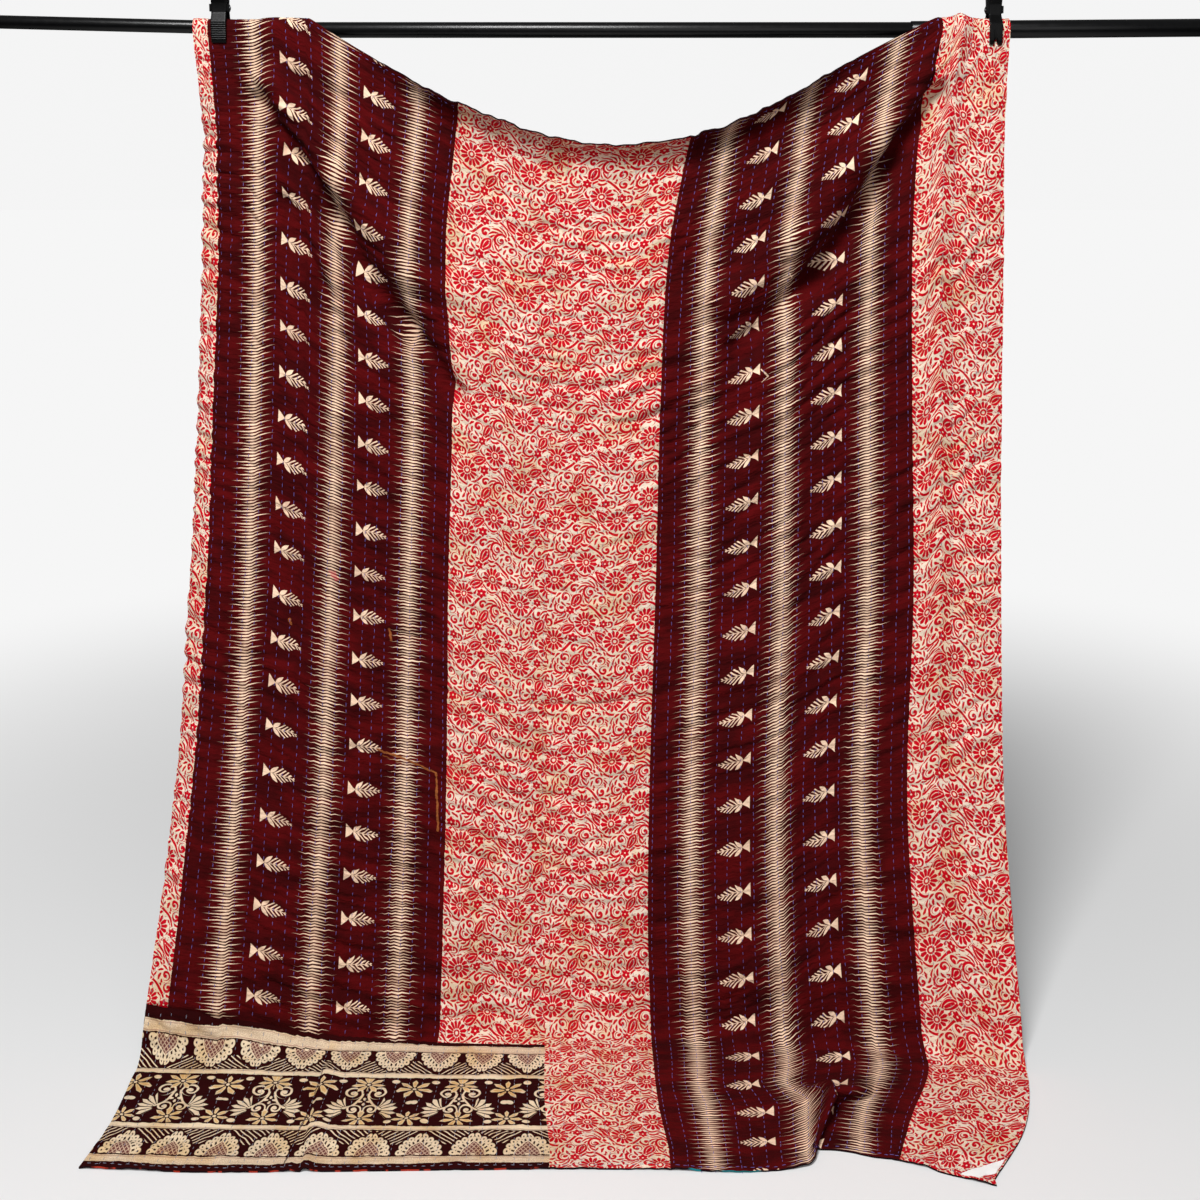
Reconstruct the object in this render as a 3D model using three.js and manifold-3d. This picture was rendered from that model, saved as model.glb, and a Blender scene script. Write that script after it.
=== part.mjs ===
// A kantha quilt pieced from printed cotton panels, clamped to a telescoping crossbar.
// Its top edge sags between the two clamps and its foot lies on the floor.
// Millimetres: +X to the viewer's right, +Y away from the viewer, +Z up.
// The origin is on the crossbar's axis at mid-length.
import * as THREE from 'three';
import { mergeVertices } from 'three/addons/utils/BufferGeometryUtils.js';
import Module from 'manifold-3d';

const wasm = await Module();
wasm.setup();

// Names the columns of a table, so that each row reads as one section or fold
const table = (names, rows) =>
  rows.map((row) => Object.fromEntries(names.map((name, i) => [name, row[i]])));

// Crossbar: three steel tubes, each sliding in the next, with a plug in each outer end
const BAR = {
  halfLength: 1060,
  leftRadius: 10.9,
  middleRadius: 12.8,
  rightRadius: 14.6,
  wall: 1.2,
  overlap: 30,
  leftJoint: -455,
  rightJoint: 525,
  leftTilt: THREE.MathUtils.degToRad(1.4),
  rightTilt: THREE.MathUtils.degToRad(0.45),
  sides: 32,
  plugDepth: 18,
  plugFlange: 3,
};
const GAP = 0.3;

// Quilt, cut flat; distances across are measured from its left edge, distances down from its top hem
const CLOTH = { width: 1435, length: 1930, thickness: 3, borderHeight: 325, floor: -1656 };
const HALF = CLOTH.thickness / 2;
const ACROSS = { leftEdge: 0, seamA: 40, seamB: 470, seamC: 656, seamD: 840, seamE: 1270, rightEdge: 1435 };
const LINES = Object.keys(ACROSS);

// Where the edges and seams hang: a row for each level, reach being the distance down from the bar
const SECTIONS = table(
  ['reach', ...LINES],
  [
    [0, -665, -641, -222, -40, 156, 559, 669],
    [125, -657, -634, -230, -50, 150, 534, 665],
    [187, -657, -633, -238, -58, 144, 523, 664],
    [358, -662, -633, -255, -70, 114, 516, 666],
    [605, -672, -644, -246, -80, 101, 518, 665],
    [931, -685, -655, -254, -88, 93, 521, 663],
    [1251, -706, -676, -257, -90, 83, 509, 663],
    [1485, -727, -695, -262, -92, 80, 518, 675],
    [1640, -742, -708, -266, -92, 84, 528, 684],
    [1720, -743, -706, -270, -90, 86, 527, 679],
    [1840, -743, -706, -274, -86, 90, 476, 640],
    [1955, -760, -718, -280, -74, 102, 433, 566],
  ],
);

// Top edge: wrapped over the bar beside each clamp; between them it sags and its lip rolls to the front
const SWAG = {
  lowAt: 722,
  lowest: -190,
  left: { leave: 205, firstPower: 1.66, lastPower: 1.5, overlap: 60, flap: 58 },
  right: { leave: 166, firstPower: 1.2, lastPower: 1.9, overlap: 60, flap: 58 },
  flapGrows: 70,
  hemEnd: 6,
  seat: 0.6,
  looseSeat: 2.6,
  loosens: [50, 95],
  leastTurn: THREE.MathUtils.degToRad(8),
  rollTurn: THREE.MathUtils.degToRad(62),
  rollRadius: 58,
  rollsFrom: 18,
  rollsTo: 110,
  forward: 12,
  tuck: { at: 1316, width: 15, height: 7 },
};

// Lean of the hanging part towards the viewer, and the bend where it meets the floor
const LEAN = { middle: 165, side: 262, power: 1.7, bendRadius: 48, step: 12, bendStep: Math.PI / 24 };
const CURL = { width: 72, depth: 26, power: 1.5, from: 40, to: 200, ends: 1350, endsBy: 1650 };

// Soft folds of the hanging part, between two points of the front view; a trough has a negative depth
const HANGING_FOLDS = table(
  ['fromX', 'fromZ', 'toX', 'toZ', 'width', 'depth'],
  [
    [-558, -114, -476, -245, 24, -9],
    [-521, -290, -462, -430, 22, -8],
    [-468, -415, -422, -565, 24, -6],
    [-455, -285, -330, -480, 25, -17],
    [-335, -470, -246, -597, 22, -11],
    [-541, -90, -440, -230, 30, 7],
    [-435, -237, -320, -392, 32, 10],
    [549, -106, 487, -196, 22, -13],
    [480, -215, 360, -405, 25, -17],
    [365, -400, 230, -523, 23, -10],
    [533, -74, 459, -180, 28, 6],
    [455, -185, 328, -335, 32, 10],
    [328, -335, 205, -441, 28, 7],
    [150, -245, 340, -160, 26, -8],
    [-480, -640, -520, -1500, 85, 9],
    [-330, -620, -345, -1480, 60, -7],
    [-88, -430, -92, -1500, 34, -7],
    [10, -430, 0, -1450, 60, 6],
    [-180, -430, -180, -1450, 60, 6],
    [255, -560, 240, -1520, 80, 9],
    [420, -480, 410, -1500, 55, -8],
    [590, -330, 600, -1500, 55, 6],
  ],
);

// Folds fade in below the top edge and out in the bend; floor folds start where the bend ends (radians)
const FADE = { below: [15, 90], bend: [1, 1.45], floor: [1.3, Math.PI / 2] };

// Foot of the quilt on the floor: where the hem lies, a low crease and the pleat that laps over itself
const HEM = table(
  ['across', 'y'],
  [
    [0, -538],
    [180, -547],
    [656, -540],
    [840, -542],
    [960, -547],
    [1050, -534],
    [1092, -508],
    [1160, -497],
    [1215, -513],
    [1270, -522],
    [1360, -553],
    [1435, -577],
  ],
);
const FLOOR_FOLDS = table(
  ['fromX', 'fromY', 'toX', 'toY', 'width', 'height'],
  [[-436, -300, -430, -600, 18, 7]],
);
const PLEAT = table(
  ['across', 'shift', 'lift'],
  [
    [840, 0, 0],
    [1000, 20, 0],
    [1050, 30, 9],
    [1075, 31, 25],
    [1092, 32, 38],
    [1107, 24, 31],
    [1124, 2, 18],
    [1142, -21, 8],
    [1160, -27, 1],
    [1185, -23, 0],
    [1270, 0, 0],
  ],
);
const PLEAT_RISES = { from: -325, to: -405 };

// Tape label across the bottom right corner, by its distances from the corner along the hem and the side
const LABEL = {
  thickness: 1,
  hemInner: 58,
  hemOuter: 29,
  sideInner: 50,
  sideOuter: 20,
  inset: 3,
  steps: 4,
};

// Spring clamps: levers drawn in the plane across the bar, the jaws reaching down in front of and behind it
const CLAMP = {
  tip: -26,
  jawThickness: 6,
  shoulder: 8,
  neck: 21,
  neckFlare: 1.2,
  pivot: 31,
  top: 82,
  bodyGap: 6.8,
  bodyThickness: 5.7,
  handleReach: 16,
  handleCrown: 2,
  bodyTaper: 2,
  clearance: 0.6,
  earRadius: 6,
  earThickness: 3,
  earRoot: 0.5,
  earBite: 1,
  pinRadius: 2.2,
  headRadius: 3.4,
  headThickness: 1.4,
  springRadius: 5.2,
  springTurns: 4,
  springGroove: 1,
  sides: 16,
  ribs: 8,
  ribDepth: 0.8,
  forkWidth: 6,
  forkDepth: 8,
};
const CLAMPS = table(
  ['name', 'x', 'jawWidth', 'barRadius', 'ribbed', 'forked'],
  [
    ['left_clamp', -621.5, 25, BAR.leftRadius, true, false],
    ['right_clamp', 644.5, 21, BAR.rightRadius, false, true],
  ],
);

// Grid of the sheet: columns by stretch across, rows for the top edge, the hang and the foot
const COLUMNS = table(
  ['from', 'to', 'steps'],
  [
    [0, 40, 2],
    [40, 140, 3],
    [140, 265, 7],
    [265, 470, 6],
    [470, 656, 5],
    [656, 840, 5],
    [840, 1000, 4],
    [1000, 1190, 8],
    [1190, 1270, 4],
    [1270, 1345, 4],
    [1345, 1435, 3],
  ],
);
const ROWS = { flap: 2, turn: 7, lead: 1, fold: 10, plain: 7, bend: 4, foot: 8 };
const ROW_LENGTHS = { lead: 18, fold: 500, bend: 150 };
const TURN_SHARE = { earliest: 0.18, latest: 0.62, least: 0.3, end: 0.93 };

// Half the step over which the sheet's slope is taken, and the distance at which vertices are one
const NUDGE = 1.5;
const WELD = 1e-4;

const { clamp, lerp } = THREE.MathUtils;
const ease = (from, to, x) => {
  const t = clamp((x - from) / (to - from), 0, 1);
  return t * t * (3 - 2 * t);
};

// Value of one column of a table at a key, on a smooth curve through the rows
function along(rows, key, at, name) {
  let i = 0;
  while (i < rows.length - 2 && at > rows[i + 1][key]) i++;
  const slope = (j) => {
    const a = rows[Math.max(j - 1, 0)];
    const b = rows[Math.min(j + 1, rows.length - 1)];
    return (b[name] - a[name]) / (b[key] - a[key]);
  };
  const [p, q] = [rows[i], rows[i + 1]];
  const width = q[key] - p[key];
  const t = clamp((at - p[key]) / width, 0, 1);
  const [h, k] = [slope(i) * width, slope(i + 1) * width];
  const rise = q[name] - p[name];
  return p[name] + t * (h + t * (3 * rise - 2 * h - k + t * (h + k - 2 * rise)));
}

// Place across the room of a point of the cloth at a level
function acrossAt(across, reach) {
  let i = 0;
  while (i < LINES.length - 2 && across > ACROSS[LINES[i + 1]]) i++;
  const [a, b] = [LINES[i], LINES[i + 1]];
  const t = (across - ACROSS[a]) / (ACROSS[b] - ACROSS[a]);
  return lerp(along(SECTIONS, 'reach', reach, a), along(SECTIONS, 'reach', reach, b), t);
}

function barHeight(x) {
  if (x < BAR.leftJoint) return (BAR.leftJoint - x) * Math.tan(BAR.leftTilt);
  if (x > BAR.rightJoint) return (x - BAR.rightJoint) * Math.tan(BAR.rightTilt);
  return 0;
}

// One column of the sheet: its hem end, its turn over the bar or its rolled edge, its hang, bend and foot
const columns = new Map();
function column(across) {
  if (columns.has(across)) return columns.get(across);
  const onLeft = across < SWAG.lowAt;
  const side = onLeft ? SWAG.left : SWAG.right;
  const past = (onLeft ? across : CLOTH.width - across) - side.leave;
  const span = (onLeft ? SWAG.lowAt : CLOTH.width - SWAG.lowAt) - side.leave;
  const loose = 1 - ease(...SWAG.loosens, -past);
  const barRadius = onLeft ? lerp(BAR.leftRadius, BAR.middleRadius, loose) : BAR.rightRadius;
  const tuck = SWAG.tuck.height * Math.exp(-(((across - SWAG.tuck.at) / SWAG.tuck.width) ** 2));
  const grip = barRadius + lerp(SWAG.seat, SWAG.looseSeat, loose) + HALF + tuck;
  const barZ = barHeight(acrossAt(across, 0));
  const top = barZ + grip;
  const sagged = clamp(past / span, 0, 1);
  const power = lerp(side.firstPower, side.lastPower, sagged);
  const crest = SWAG.lowest + (top - SWAG.lowest) * (1 - sagged) ** power;
  const rolled = ease(SWAG.rollsFrom, SWAG.rollsTo, barZ - crest);
  const radius = lerp(grip, SWAG.rollRadius, rolled);
  let turn = Math.asin(clamp((crest - barZ) / grip, 0, 1));
  if (past <= 0) turn = (Math.PI / 2) * (1 + ease(0, side.overlap, -past));
  turn = Math.max(turn, SWAG.rollTurn * rolled, SWAG.leastTurn);
  const centreZ = past <= 0 ? barZ : Math.min(barZ, crest - radius * Math.sin(turn));
  const front = -grip - SWAG.forward * rolled;
  const bend = 1 - 2 * ease(0, SWAG.rollsFrom, barZ - crest);
  const flap = SWAG.hemEnd + side.flap * ease(side.overlap, side.overlap + SWAG.flapGrows, -past);
  const turned = flap + radius * turn;

  const edgeways = Math.abs((2 * across) / CLOTH.width - 1);
  const lean = lerp(LEAN.middle, LEAN.side, edgeways ** 2);
  const low = CLOTH.floor + HALF;
  const stations = [{ run: 0, y: front, z: centreZ, angle: 0 }];
  const add = (y, z, angle) => {
    const last = stations[stations.length - 1];
    stations.push({ run: last.run + Math.hypot(y - last.y, z - last.z), y, z, angle });
  };
  let last = stations[0];
  while (last.z - low > LEAN.bendRadius * (1 - Math.sin(last.angle))) {
    const z = last.z - LEAN.step;
    const down = (centreZ - z) / (centreZ - low);
    const slope = ((lean * LEAN.power) / (centreZ - low)) * down ** (LEAN.power - 1);
    add(front - lean * down ** LEAN.power, z, Math.atan(slope));
    last = stations[stations.length - 1];
  }
  const bendTop = last;
  const bendRadius = (bendTop.z - low) / (1 - Math.sin(bendTop.angle));
  const bends = Math.ceil((Math.PI / 2 - bendTop.angle) / LEAN.bendStep);
  for (let i = 1; i <= bends; i++) {
    const angle = lerp(bendTop.angle, Math.PI / 2, i / bends);
    const y = bendTop.y - bendRadius * (Math.cos(bendTop.angle) - Math.cos(angle));
    add(y, bendTop.z - bendRadius * (Math.sin(angle) - Math.sin(bendTop.angle)), angle);
  }
  add(along(HEM, 'across', across, 'y'), low, Math.PI / 2);
  const made = { across, turn, radius, bend, flap, turned, front, centreZ, stations };
  made.length = turned + stations[stations.length - 1].run;
  columns.set(across, made);
  return made;
}

// Point of a column's plain curve at a distance from its top hem
function onColumn(col, distance) {
  if (distance < col.turned) {
    const angle = col.turn - Math.max(distance - col.flap, 0) / col.radius;
    const before = Math.max(col.flap - distance, 0);
    const back = col.radius - col.radius * Math.cos(angle) + before * Math.sin(angle);
    const z = col.centreZ + col.radius * Math.sin(angle) + before * Math.cos(angle);
    return { y: col.front + col.bend * back, z, angle };
  }
  const run = distance - col.turned;
  const { stations } = col;
  let i = 0;
  while (i < stations.length - 2 && run > stations[i + 1].run) i++;
  const [a, b] = [stations[i], stations[i + 1]];
  const t = (run - a.run) / (b.run - a.run);
  return { y: lerp(a.y, b.y, t), z: lerp(a.z, b.z, t), angle: lerp(a.angle, b.angle, clamp(t, 0, 1)) };
}

// Height of a soft fold at a point, fading towards the fold's two ends
function foldAt(x, y, fromX, fromY, toX, toY, width) {
  const [dx, dy] = [toX - fromX, toY - fromY];
  const length = Math.hypot(dx, dy);
  const run = ((x - fromX) * dx + (y - fromY) * dy) / length;
  const off = ((x - fromX) * dy - (y - fromY) * dx) / length;
  const beyond = Math.max(-run, run - length, 0);
  return Math.exp(-(off * off + beyond * beyond) / (width * width));
}

// Middle surface of the draped sheet
function drape(across, distance) {
  const col = column(across);
  const { y, z, angle } = onColumn(col, distance);
  const reach = distance - col.turned - col.centreZ;
  let x = acrossAt(across, reach);
  const hangs = ease(...FADE.below, distance - col.turned) * (1 - ease(...FADE.bend, angle));
  let bulge = 0;
  for (const f of HANGING_FOLDS) {
    bulge += f.depth * hangs * foldAt(x, z, f.fromX, f.fromZ, f.toX, f.toZ, f.width);
  }
  const curled = Math.max(1 - across / CURL.width, 0) ** CURL.power;
  const curls = ease(CURL.from, CURL.to, reach) * (1 - ease(CURL.ends, CURL.endsBy, reach));
  bulge -= CURL.depth * curled * curls;
  let lift = 0;
  const onFloor = ease(...FADE.floor, angle);
  for (const f of FLOOR_FOLDS) {
    lift += f.height * onFloor * foldAt(x, y, f.fromX, f.fromY, f.toX, f.toY, f.width);
  }
  const risen = ease(PLEAT_RISES.from, PLEAT_RISES.to, y);
  if (across > ACROSS.seamD && across < ACROSS.seamE && risen > 0) {
    x += risen * along(PLEAT, 'across', across, 'shift');
    lift += risen * Math.max(along(PLEAT, 'across', across, 'lift'), 0);
  }
  return new THREE.Vector3(x, y - bulge * Math.cos(angle), z + bulge * Math.sin(angle) + lift);
}

// Distances of the sheet's rows down one column
function rowDistances(across) {
  const col = column(across);
  const lead = col.turned + ROW_LENGTHS.lead;
  const turnStarts = clamp(col.flap / lead, TURN_SHARE.earliest, TURN_SHARE.latest);
  const turnEnds = clamp(col.turned / lead, turnStarts + TURN_SHARE.least, TURN_SHARE.end);
  const rows = [];
  const spread = (from, to, steps) => {
    for (let i = 0; i < steps; i++) rows.push(lerp(from, to, i / steps));
  };
  spread(0, lead * turnStarts, ROWS.flap);
  spread(lead * turnStarts, lead * turnEnds, ROWS.turn);
  spread(lead * turnEnds, lead, ROWS.lead);
  const seam = col.length * (1 - CLOTH.borderHeight / CLOTH.length);
  const foldEnd = lead + ROW_LENGTHS.fold;
  const bendTop = seam - ROW_LENGTHS.bend;
  spread(lead, foldEnd, ROWS.fold);
  spread(foldEnd, bendTop, ROWS.plain);
  spread(bendTop, seam, ROWS.bend);
  const seamRow = rows.length;
  spread(seam, col.length, ROWS.foot);
  rows.push(col.length);
  return { rows, seamRow };
}
const SEAM_ROW = rowDistances(0).seamRow;
const LAST_ROW = rowDistances(0).rows.length - 1;

// Face normal of the sheet, towards the printed side
function printedSide(across, distance) {
  const share = distance / column(across).length;
  const right = drape(across + NUDGE, share * column(across + NUDGE).length);
  const left = drape(across - NUDGE, share * column(across - NUDGE).length);
  const down = drape(across, distance + NUDGE).sub(drape(across, distance - NUDGE));
  return down.cross(right.sub(left)).normalize();
}

// Closed solid from a grid of middle points and normals, columns first
function slab(grid, thickness) {
  const across = grid.length;
  const down = grid[0].length;
  const positions = [];
  for (const offset of [thickness / 2, -thickness / 2]) {
    for (const { at, normal } of grid.flat()) {
      positions.push(...at.clone().addScaledVector(normal, offset).toArray());
    }
  }
  const front = (i, k) => i * down + k;
  const back = (i, k) => across * down + i * down + k;
  const faces = [];
  const quad = (a, b, c, d) => faces.push(a, b, c, a, c, d);
  for (let i = 0; i < across - 1; i++) {
    for (let k = 0; k < down - 1; k++) {
      quad(front(i, k), front(i, k + 1), front(i + 1, k + 1), front(i + 1, k));
      quad(back(i + 1, k + 1), back(i, k + 1), back(i, k), back(i + 1, k));
    }
  }
  for (let i = 0; i < across - 1; i++) {
    quad(front(i + 1, 0), back(i + 1, 0), back(i, 0), front(i, 0));
    quad(front(i + 1, down - 1), front(i, down - 1), back(i, down - 1), back(i + 1, down - 1));
  }
  for (let k = 0; k < down - 1; k++) {
    quad(front(0, k), back(0, k), back(0, k + 1), front(0, k + 1));
    quad(front(across - 1, k), front(across - 1, k + 1), back(across - 1, k + 1), back(across - 1, k));
  }
  const made = new THREE.BufferGeometry();
  made.setAttribute('position', new THREE.Float32BufferAttribute(positions, 3));
  made.setIndex(faces);
  made.computeVertexNormals();
  return made;
}

// One panel of the quilt between two seams, with half the seam gap left open along each
function panel(from, to, firstRow, lastRow) {
  const lines = [];
  for (const stretch of COLUMNS) {
    for (let i = 0; i <= stretch.steps; i++) {
      lines.push(lerp(stretch.from, stretch.to, i / stretch.steps));
    }
  }
  const inside = [...new Set(lines)].filter((line) => line > from && line < to);
  const halfGap = GAP / 2;
  const grid = [from + halfGap, ...inside, to - halfGap].map((across) => {
    const { rows } = rowDistances(across);
    return rows.slice(firstRow, lastRow + 1).map((distance, i, all) => {
      let at = distance;
      if (i === 0 && firstRow > 0) at += halfGap;
      if (i === all.length - 1 && lastRow < LAST_ROW) at -= halfGap;
      return { at: drape(across, at), normal: printedSide(across, at) };
    });
  });
  return slab(grid, CLOTH.thickness);
}

// Tape across the corner, lying on the printed side
function label() {
  const grid = [];
  const stand = HALF + GAP + LABEL.thickness / 2;
  const corner = (alongHem, alongSide) => ({ across: CLOTH.width - alongHem, up: alongSide });
  const ends = [
    [corner(LABEL.hemInner, LABEL.inset), corner(LABEL.hemOuter, LABEL.inset)],
    [corner(LABEL.inset, LABEL.sideInner), corner(LABEL.inset, LABEL.sideOuter)],
  ];
  for (let i = 0; i <= LABEL.steps; i++) {
    const t = i / LABEL.steps;
    grid.push(
      [0, 1].map((j) => {
        const across = lerp(ends[0][j].across, ends[1][j].across, t);
        const distance = column(across).length - lerp(ends[0][j].up, ends[1][j].up, t);
        const normal = printedSide(across, distance);
        return { at: drape(across, distance).addScaledVector(normal, stand), normal };
      }),
    );
  }
  return slab(grid, LABEL.thickness);
}

// Turned pieces: a profile of radius and distance, spun about the X axis
function turned(profile, sides) {
  const points = profile.map(([radius, at]) => new THREE.Vector2(radius, at));
  return new THREE.LatheGeometry(points, sides).rotateZ(-Math.PI / 2);
}

function tube(radius, from, to) {
  const inner = radius - BAR.wall;
  return turned([[inner, from], [radius, from], [radius, to], [inner, to], [inner, from]], BAR.sides);
}

// End plug of a tube, its flat face at the bar's end
function plug(radius, end, outward) {
  const inner = radius - BAR.wall - GAP;
  const shoulder = end - outward * BAR.plugFlange;
  const deep = shoulder - outward * BAR.plugDepth;
  const stem = [[0, deep], [inner, deep], [inner, shoulder]];
  const flange = [[radius, shoulder], [radius, end], [0, end]];
  const profile = [...stem, ...flange];
  return turned(outward > 0 ? profile : profile.reverse(), BAR.sides);
}

// Extrudes an outline drawn across the bar (Y, Z) along X, centred on the given place
const ACROSS_BAR = new THREE.Matrix4().makeBasis(
  new THREE.Vector3(0, 1, 0),
  new THREE.Vector3(0, 0, 1),
  new THREE.Vector3(1, 0, 0),
);
function extruded(shape, width, centre) {
  const curveSegments = CLAMP.sides / 2;
  const made = new THREE.ExtrudeGeometry(shape, { depth: width, bevelEnabled: false, curveSegments });
  return made.translate(0, 0, centre - width / 2).applyMatrix4(ACROSS_BAR);
}

function solid(geometry) {
  const bare = geometry.clone();
  bare.deleteAttribute('normal');
  bare.deleteAttribute('uv');
  const merged = mergeVertices(bare, WELD);
  const vertProperties = new Float32Array(merged.attributes.position.array);
  const triVerts = new Uint32Array(merged.index.array);
  return new wasm.Manifold(new wasm.Mesh({ numProp: 3, vertProperties, triVerts }));
}

function surface(body) {
  const mesh = body.getMesh();
  const made = new THREE.BufferGeometry();
  made.setAttribute('position', new THREE.BufferAttribute(mesh.vertProperties, 3));
  made.setIndex(new THREE.BufferAttribute(mesh.triVerts, 1));
  made.computeVertexNormals();
  return made;
}

// Outline of a lever from jaw tip to handle; facing is -1 for the front lever and 1 for the back one
function leverOutline(grip, facing, ribbed) {
  const outer = grip + CLAMP.jawThickness;
  const bodyOuter = CLAMP.bodyGap + CLAMP.bodyThickness;
  const outline = [
    [grip, CLAMP.tip],
    [grip, CLAMP.shoulder],
    [CLAMP.bodyGap + CLAMP.neckFlare, CLAMP.neck],
    [CLAMP.bodyGap, CLAMP.pivot - CLAMP.earRadius],
    [CLAMP.bodyGap, CLAMP.pivot + CLAMP.earRadius],
    [CLAMP.handleReach, CLAMP.top],
    [CLAMP.handleReach + CLAMP.jawThickness / 2, CLAMP.top + CLAMP.handleCrown],
    [CLAMP.handleReach + CLAMP.jawThickness, CLAMP.top],
    [bodyOuter, CLAMP.pivot + CLAMP.earRadius + CLAMP.bodyTaper],
    [bodyOuter, CLAMP.neck + CLAMP.bodyTaper],
    [outer, CLAMP.shoulder],
  ];
  const ribFoot = CLAMP.tip + CLAMP.jawThickness;
  const pitch = (CLAMP.shoulder - ribFoot) / CLAMP.ribs;
  for (let i = 0; ribbed && i < CLAMP.ribs; i++) {
    outline.push([outer - CLAMP.ribDepth, CLAMP.shoulder - (i + 0.5) * pitch]);
    outline.push([outer, CLAMP.shoulder - (i + 1) * pitch]);
  }
  if (!ribbed) outline.push([outer, ribFoot]);
  outline.push([grip + CLAMP.jawThickness / 2, CLAMP.tip]);
  return new THREE.Shape(outline.map(([y, z]) => new THREE.Vector2(facing * y, z)));
}

// Ear plate that carries the pin, from the lever's body round the pivot
function earOutline(facing) {
  const root = CLAMP.bodyGap + CLAMP.bodyThickness - CLAMP.earBite;
  const start = (facing * Math.PI) / 2;
  const ear = new THREE.Shape();
  ear.moveTo(facing * root, CLAMP.pivot + facing * CLAMP.earRadius);
  ear.lineTo(0, CLAMP.pivot + facing * CLAMP.earRadius);
  ear.absarc(0, CLAMP.pivot, CLAMP.earRadius, start, start + Math.PI, false);
  ear.lineTo(facing * root, CLAMP.pivot - facing * CLAMP.earRadius);
  ear.closePath();
  ear.holes.push(new THREE.Path().absarc(0, CLAMP.pivot, CLAMP.pinRadius + GAP, 0, 2 * Math.PI, true));
  return ear;
}

function lever(spec, facing) {
  const grip = spec.barRadius + SWAG.seat + CLOTH.thickness + CLAMP.clearance;
  let body = solid(extruded(leverOutline(grip, facing, spec.ribbed), spec.jawWidth, 0));
  const half = spec.jawWidth / 2;
  const cheek = half - CLAMP.earRoot + (CLAMP.earThickness + CLAMP.earRoot) / 2;
  const inner = half - CLAMP.earRoot - GAP - CLAMP.earThickness / 2;
  const width = facing < 0 ? CLAMP.earThickness + CLAMP.earRoot : CLAMP.earThickness;
  for (const hand of [-1, 1]) {
    const centre = hand * (facing < 0 ? cheek : inner);
    body = body.add(solid(extruded(earOutline(facing), width, centre)));
  }
  if (spec.forked) {
    const through = 2 * (grip + 2 * CLAMP.jawThickness);
    const notch = new THREE.BoxGeometry(CLAMP.forkWidth, through, 2 * CLAMP.forkDepth);
    body = body.subtract(solid(notch.translate(0, 0, CLAMP.tip)));
  }
  return surface(body);
}

function pin(spec) {
  const cheekFace = spec.jawWidth / 2 + CLAMP.earThickness;
  const head = cheekFace + GAP;
  const end = head + CLAMP.headThickness;
  const { pinRadius, headRadius } = CLAMP;
  const near = [[0, -end], [headRadius, -end], [headRadius, -head], [pinRadius, -head]];
  const far = [[pinRadius, head], [headRadius, head], [headRadius, end], [0, end]];
  return turned([...near, ...far], CLAMP.sides).translate(0, 0, CLAMP.pivot);
}

// Coil spring on the pin between the inner ears, its turns drawn as rings that touch
function spring(spec) {
  const half = spec.jawWidth / 2 - CLAMP.earRoot - 2 * GAP - CLAMP.earThickness;
  const inner = CLAMP.pinRadius + GAP;
  const pitch = (2 * half) / CLAMP.springTurns;
  const groove = CLAMP.springRadius - CLAMP.springGroove;
  const profile = [[inner, -half], [groove, -half]];
  for (let i = 0; i < CLAMP.springTurns; i++) {
    profile.push([CLAMP.springRadius, -half + (i + 0.5) * pitch]);
    profile.push([groove, -half + (i + 1) * pitch]);
  }
  return turned([...profile, [inner, half], [inner, -half]], CLAMP.sides).translate(0, 0, CLAMP.pivot);
}

const cotton = (color) => new THREE.MeshStandardMaterial({ color, roughness: 0.9, metalness: 0 });
const FLORAL = cotton(0xdcb9a0);
const MAROON = cotton(0x5c1418);
const BORDER = cotton(0x7a3a34);
const TAPE = cotton(0xf2f0ec);
const TUBE = new THREE.MeshStandardMaterial({ color: 0x0c0c0d, roughness: 0.35, metalness: 0.2 });
const NYLON = new THREE.MeshStandardMaterial({ color: 0x101113, roughness: 0.5, metalness: 0 });
const STEEL = new THREE.MeshStandardMaterial({ color: 0x55585c, roughness: 0.4, metalness: 0.9 });

const quilt = new THREE.Group();
const place = (parent, name, geometry, material) => {
  const mesh = new THREE.Mesh(geometry, material);
  mesh.name = name;
  parent.add(mesh);
};

const { leftEdge, seamA, seamB, seamC, seamD, seamE, rightEdge } = ACROSS;
place(quilt, 'left_floral_strip', panel(leftEdge, seamA, 0, SEAM_ROW), FLORAL);
place(quilt, 'left_maroon_panel', panel(seamA, seamB, 0, SEAM_ROW), MAROON);
place(quilt, 'centre_floral_left', panel(seamB, seamC, 0, SEAM_ROW), FLORAL);
place(quilt, 'centre_floral_right', panel(seamC, seamD, 0, LAST_ROW), FLORAL);
place(quilt, 'right_maroon_panel', panel(seamD, seamE, 0, LAST_ROW), MAROON);
place(quilt, 'right_floral_strip', panel(seamE, rightEdge, 0, LAST_ROW), FLORAL);
place(quilt, 'border_panel', panel(leftEdge, seamC, SEAM_ROW, LAST_ROW), BORDER);
place(quilt, 'corner_label', label(), TAPE);

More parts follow.
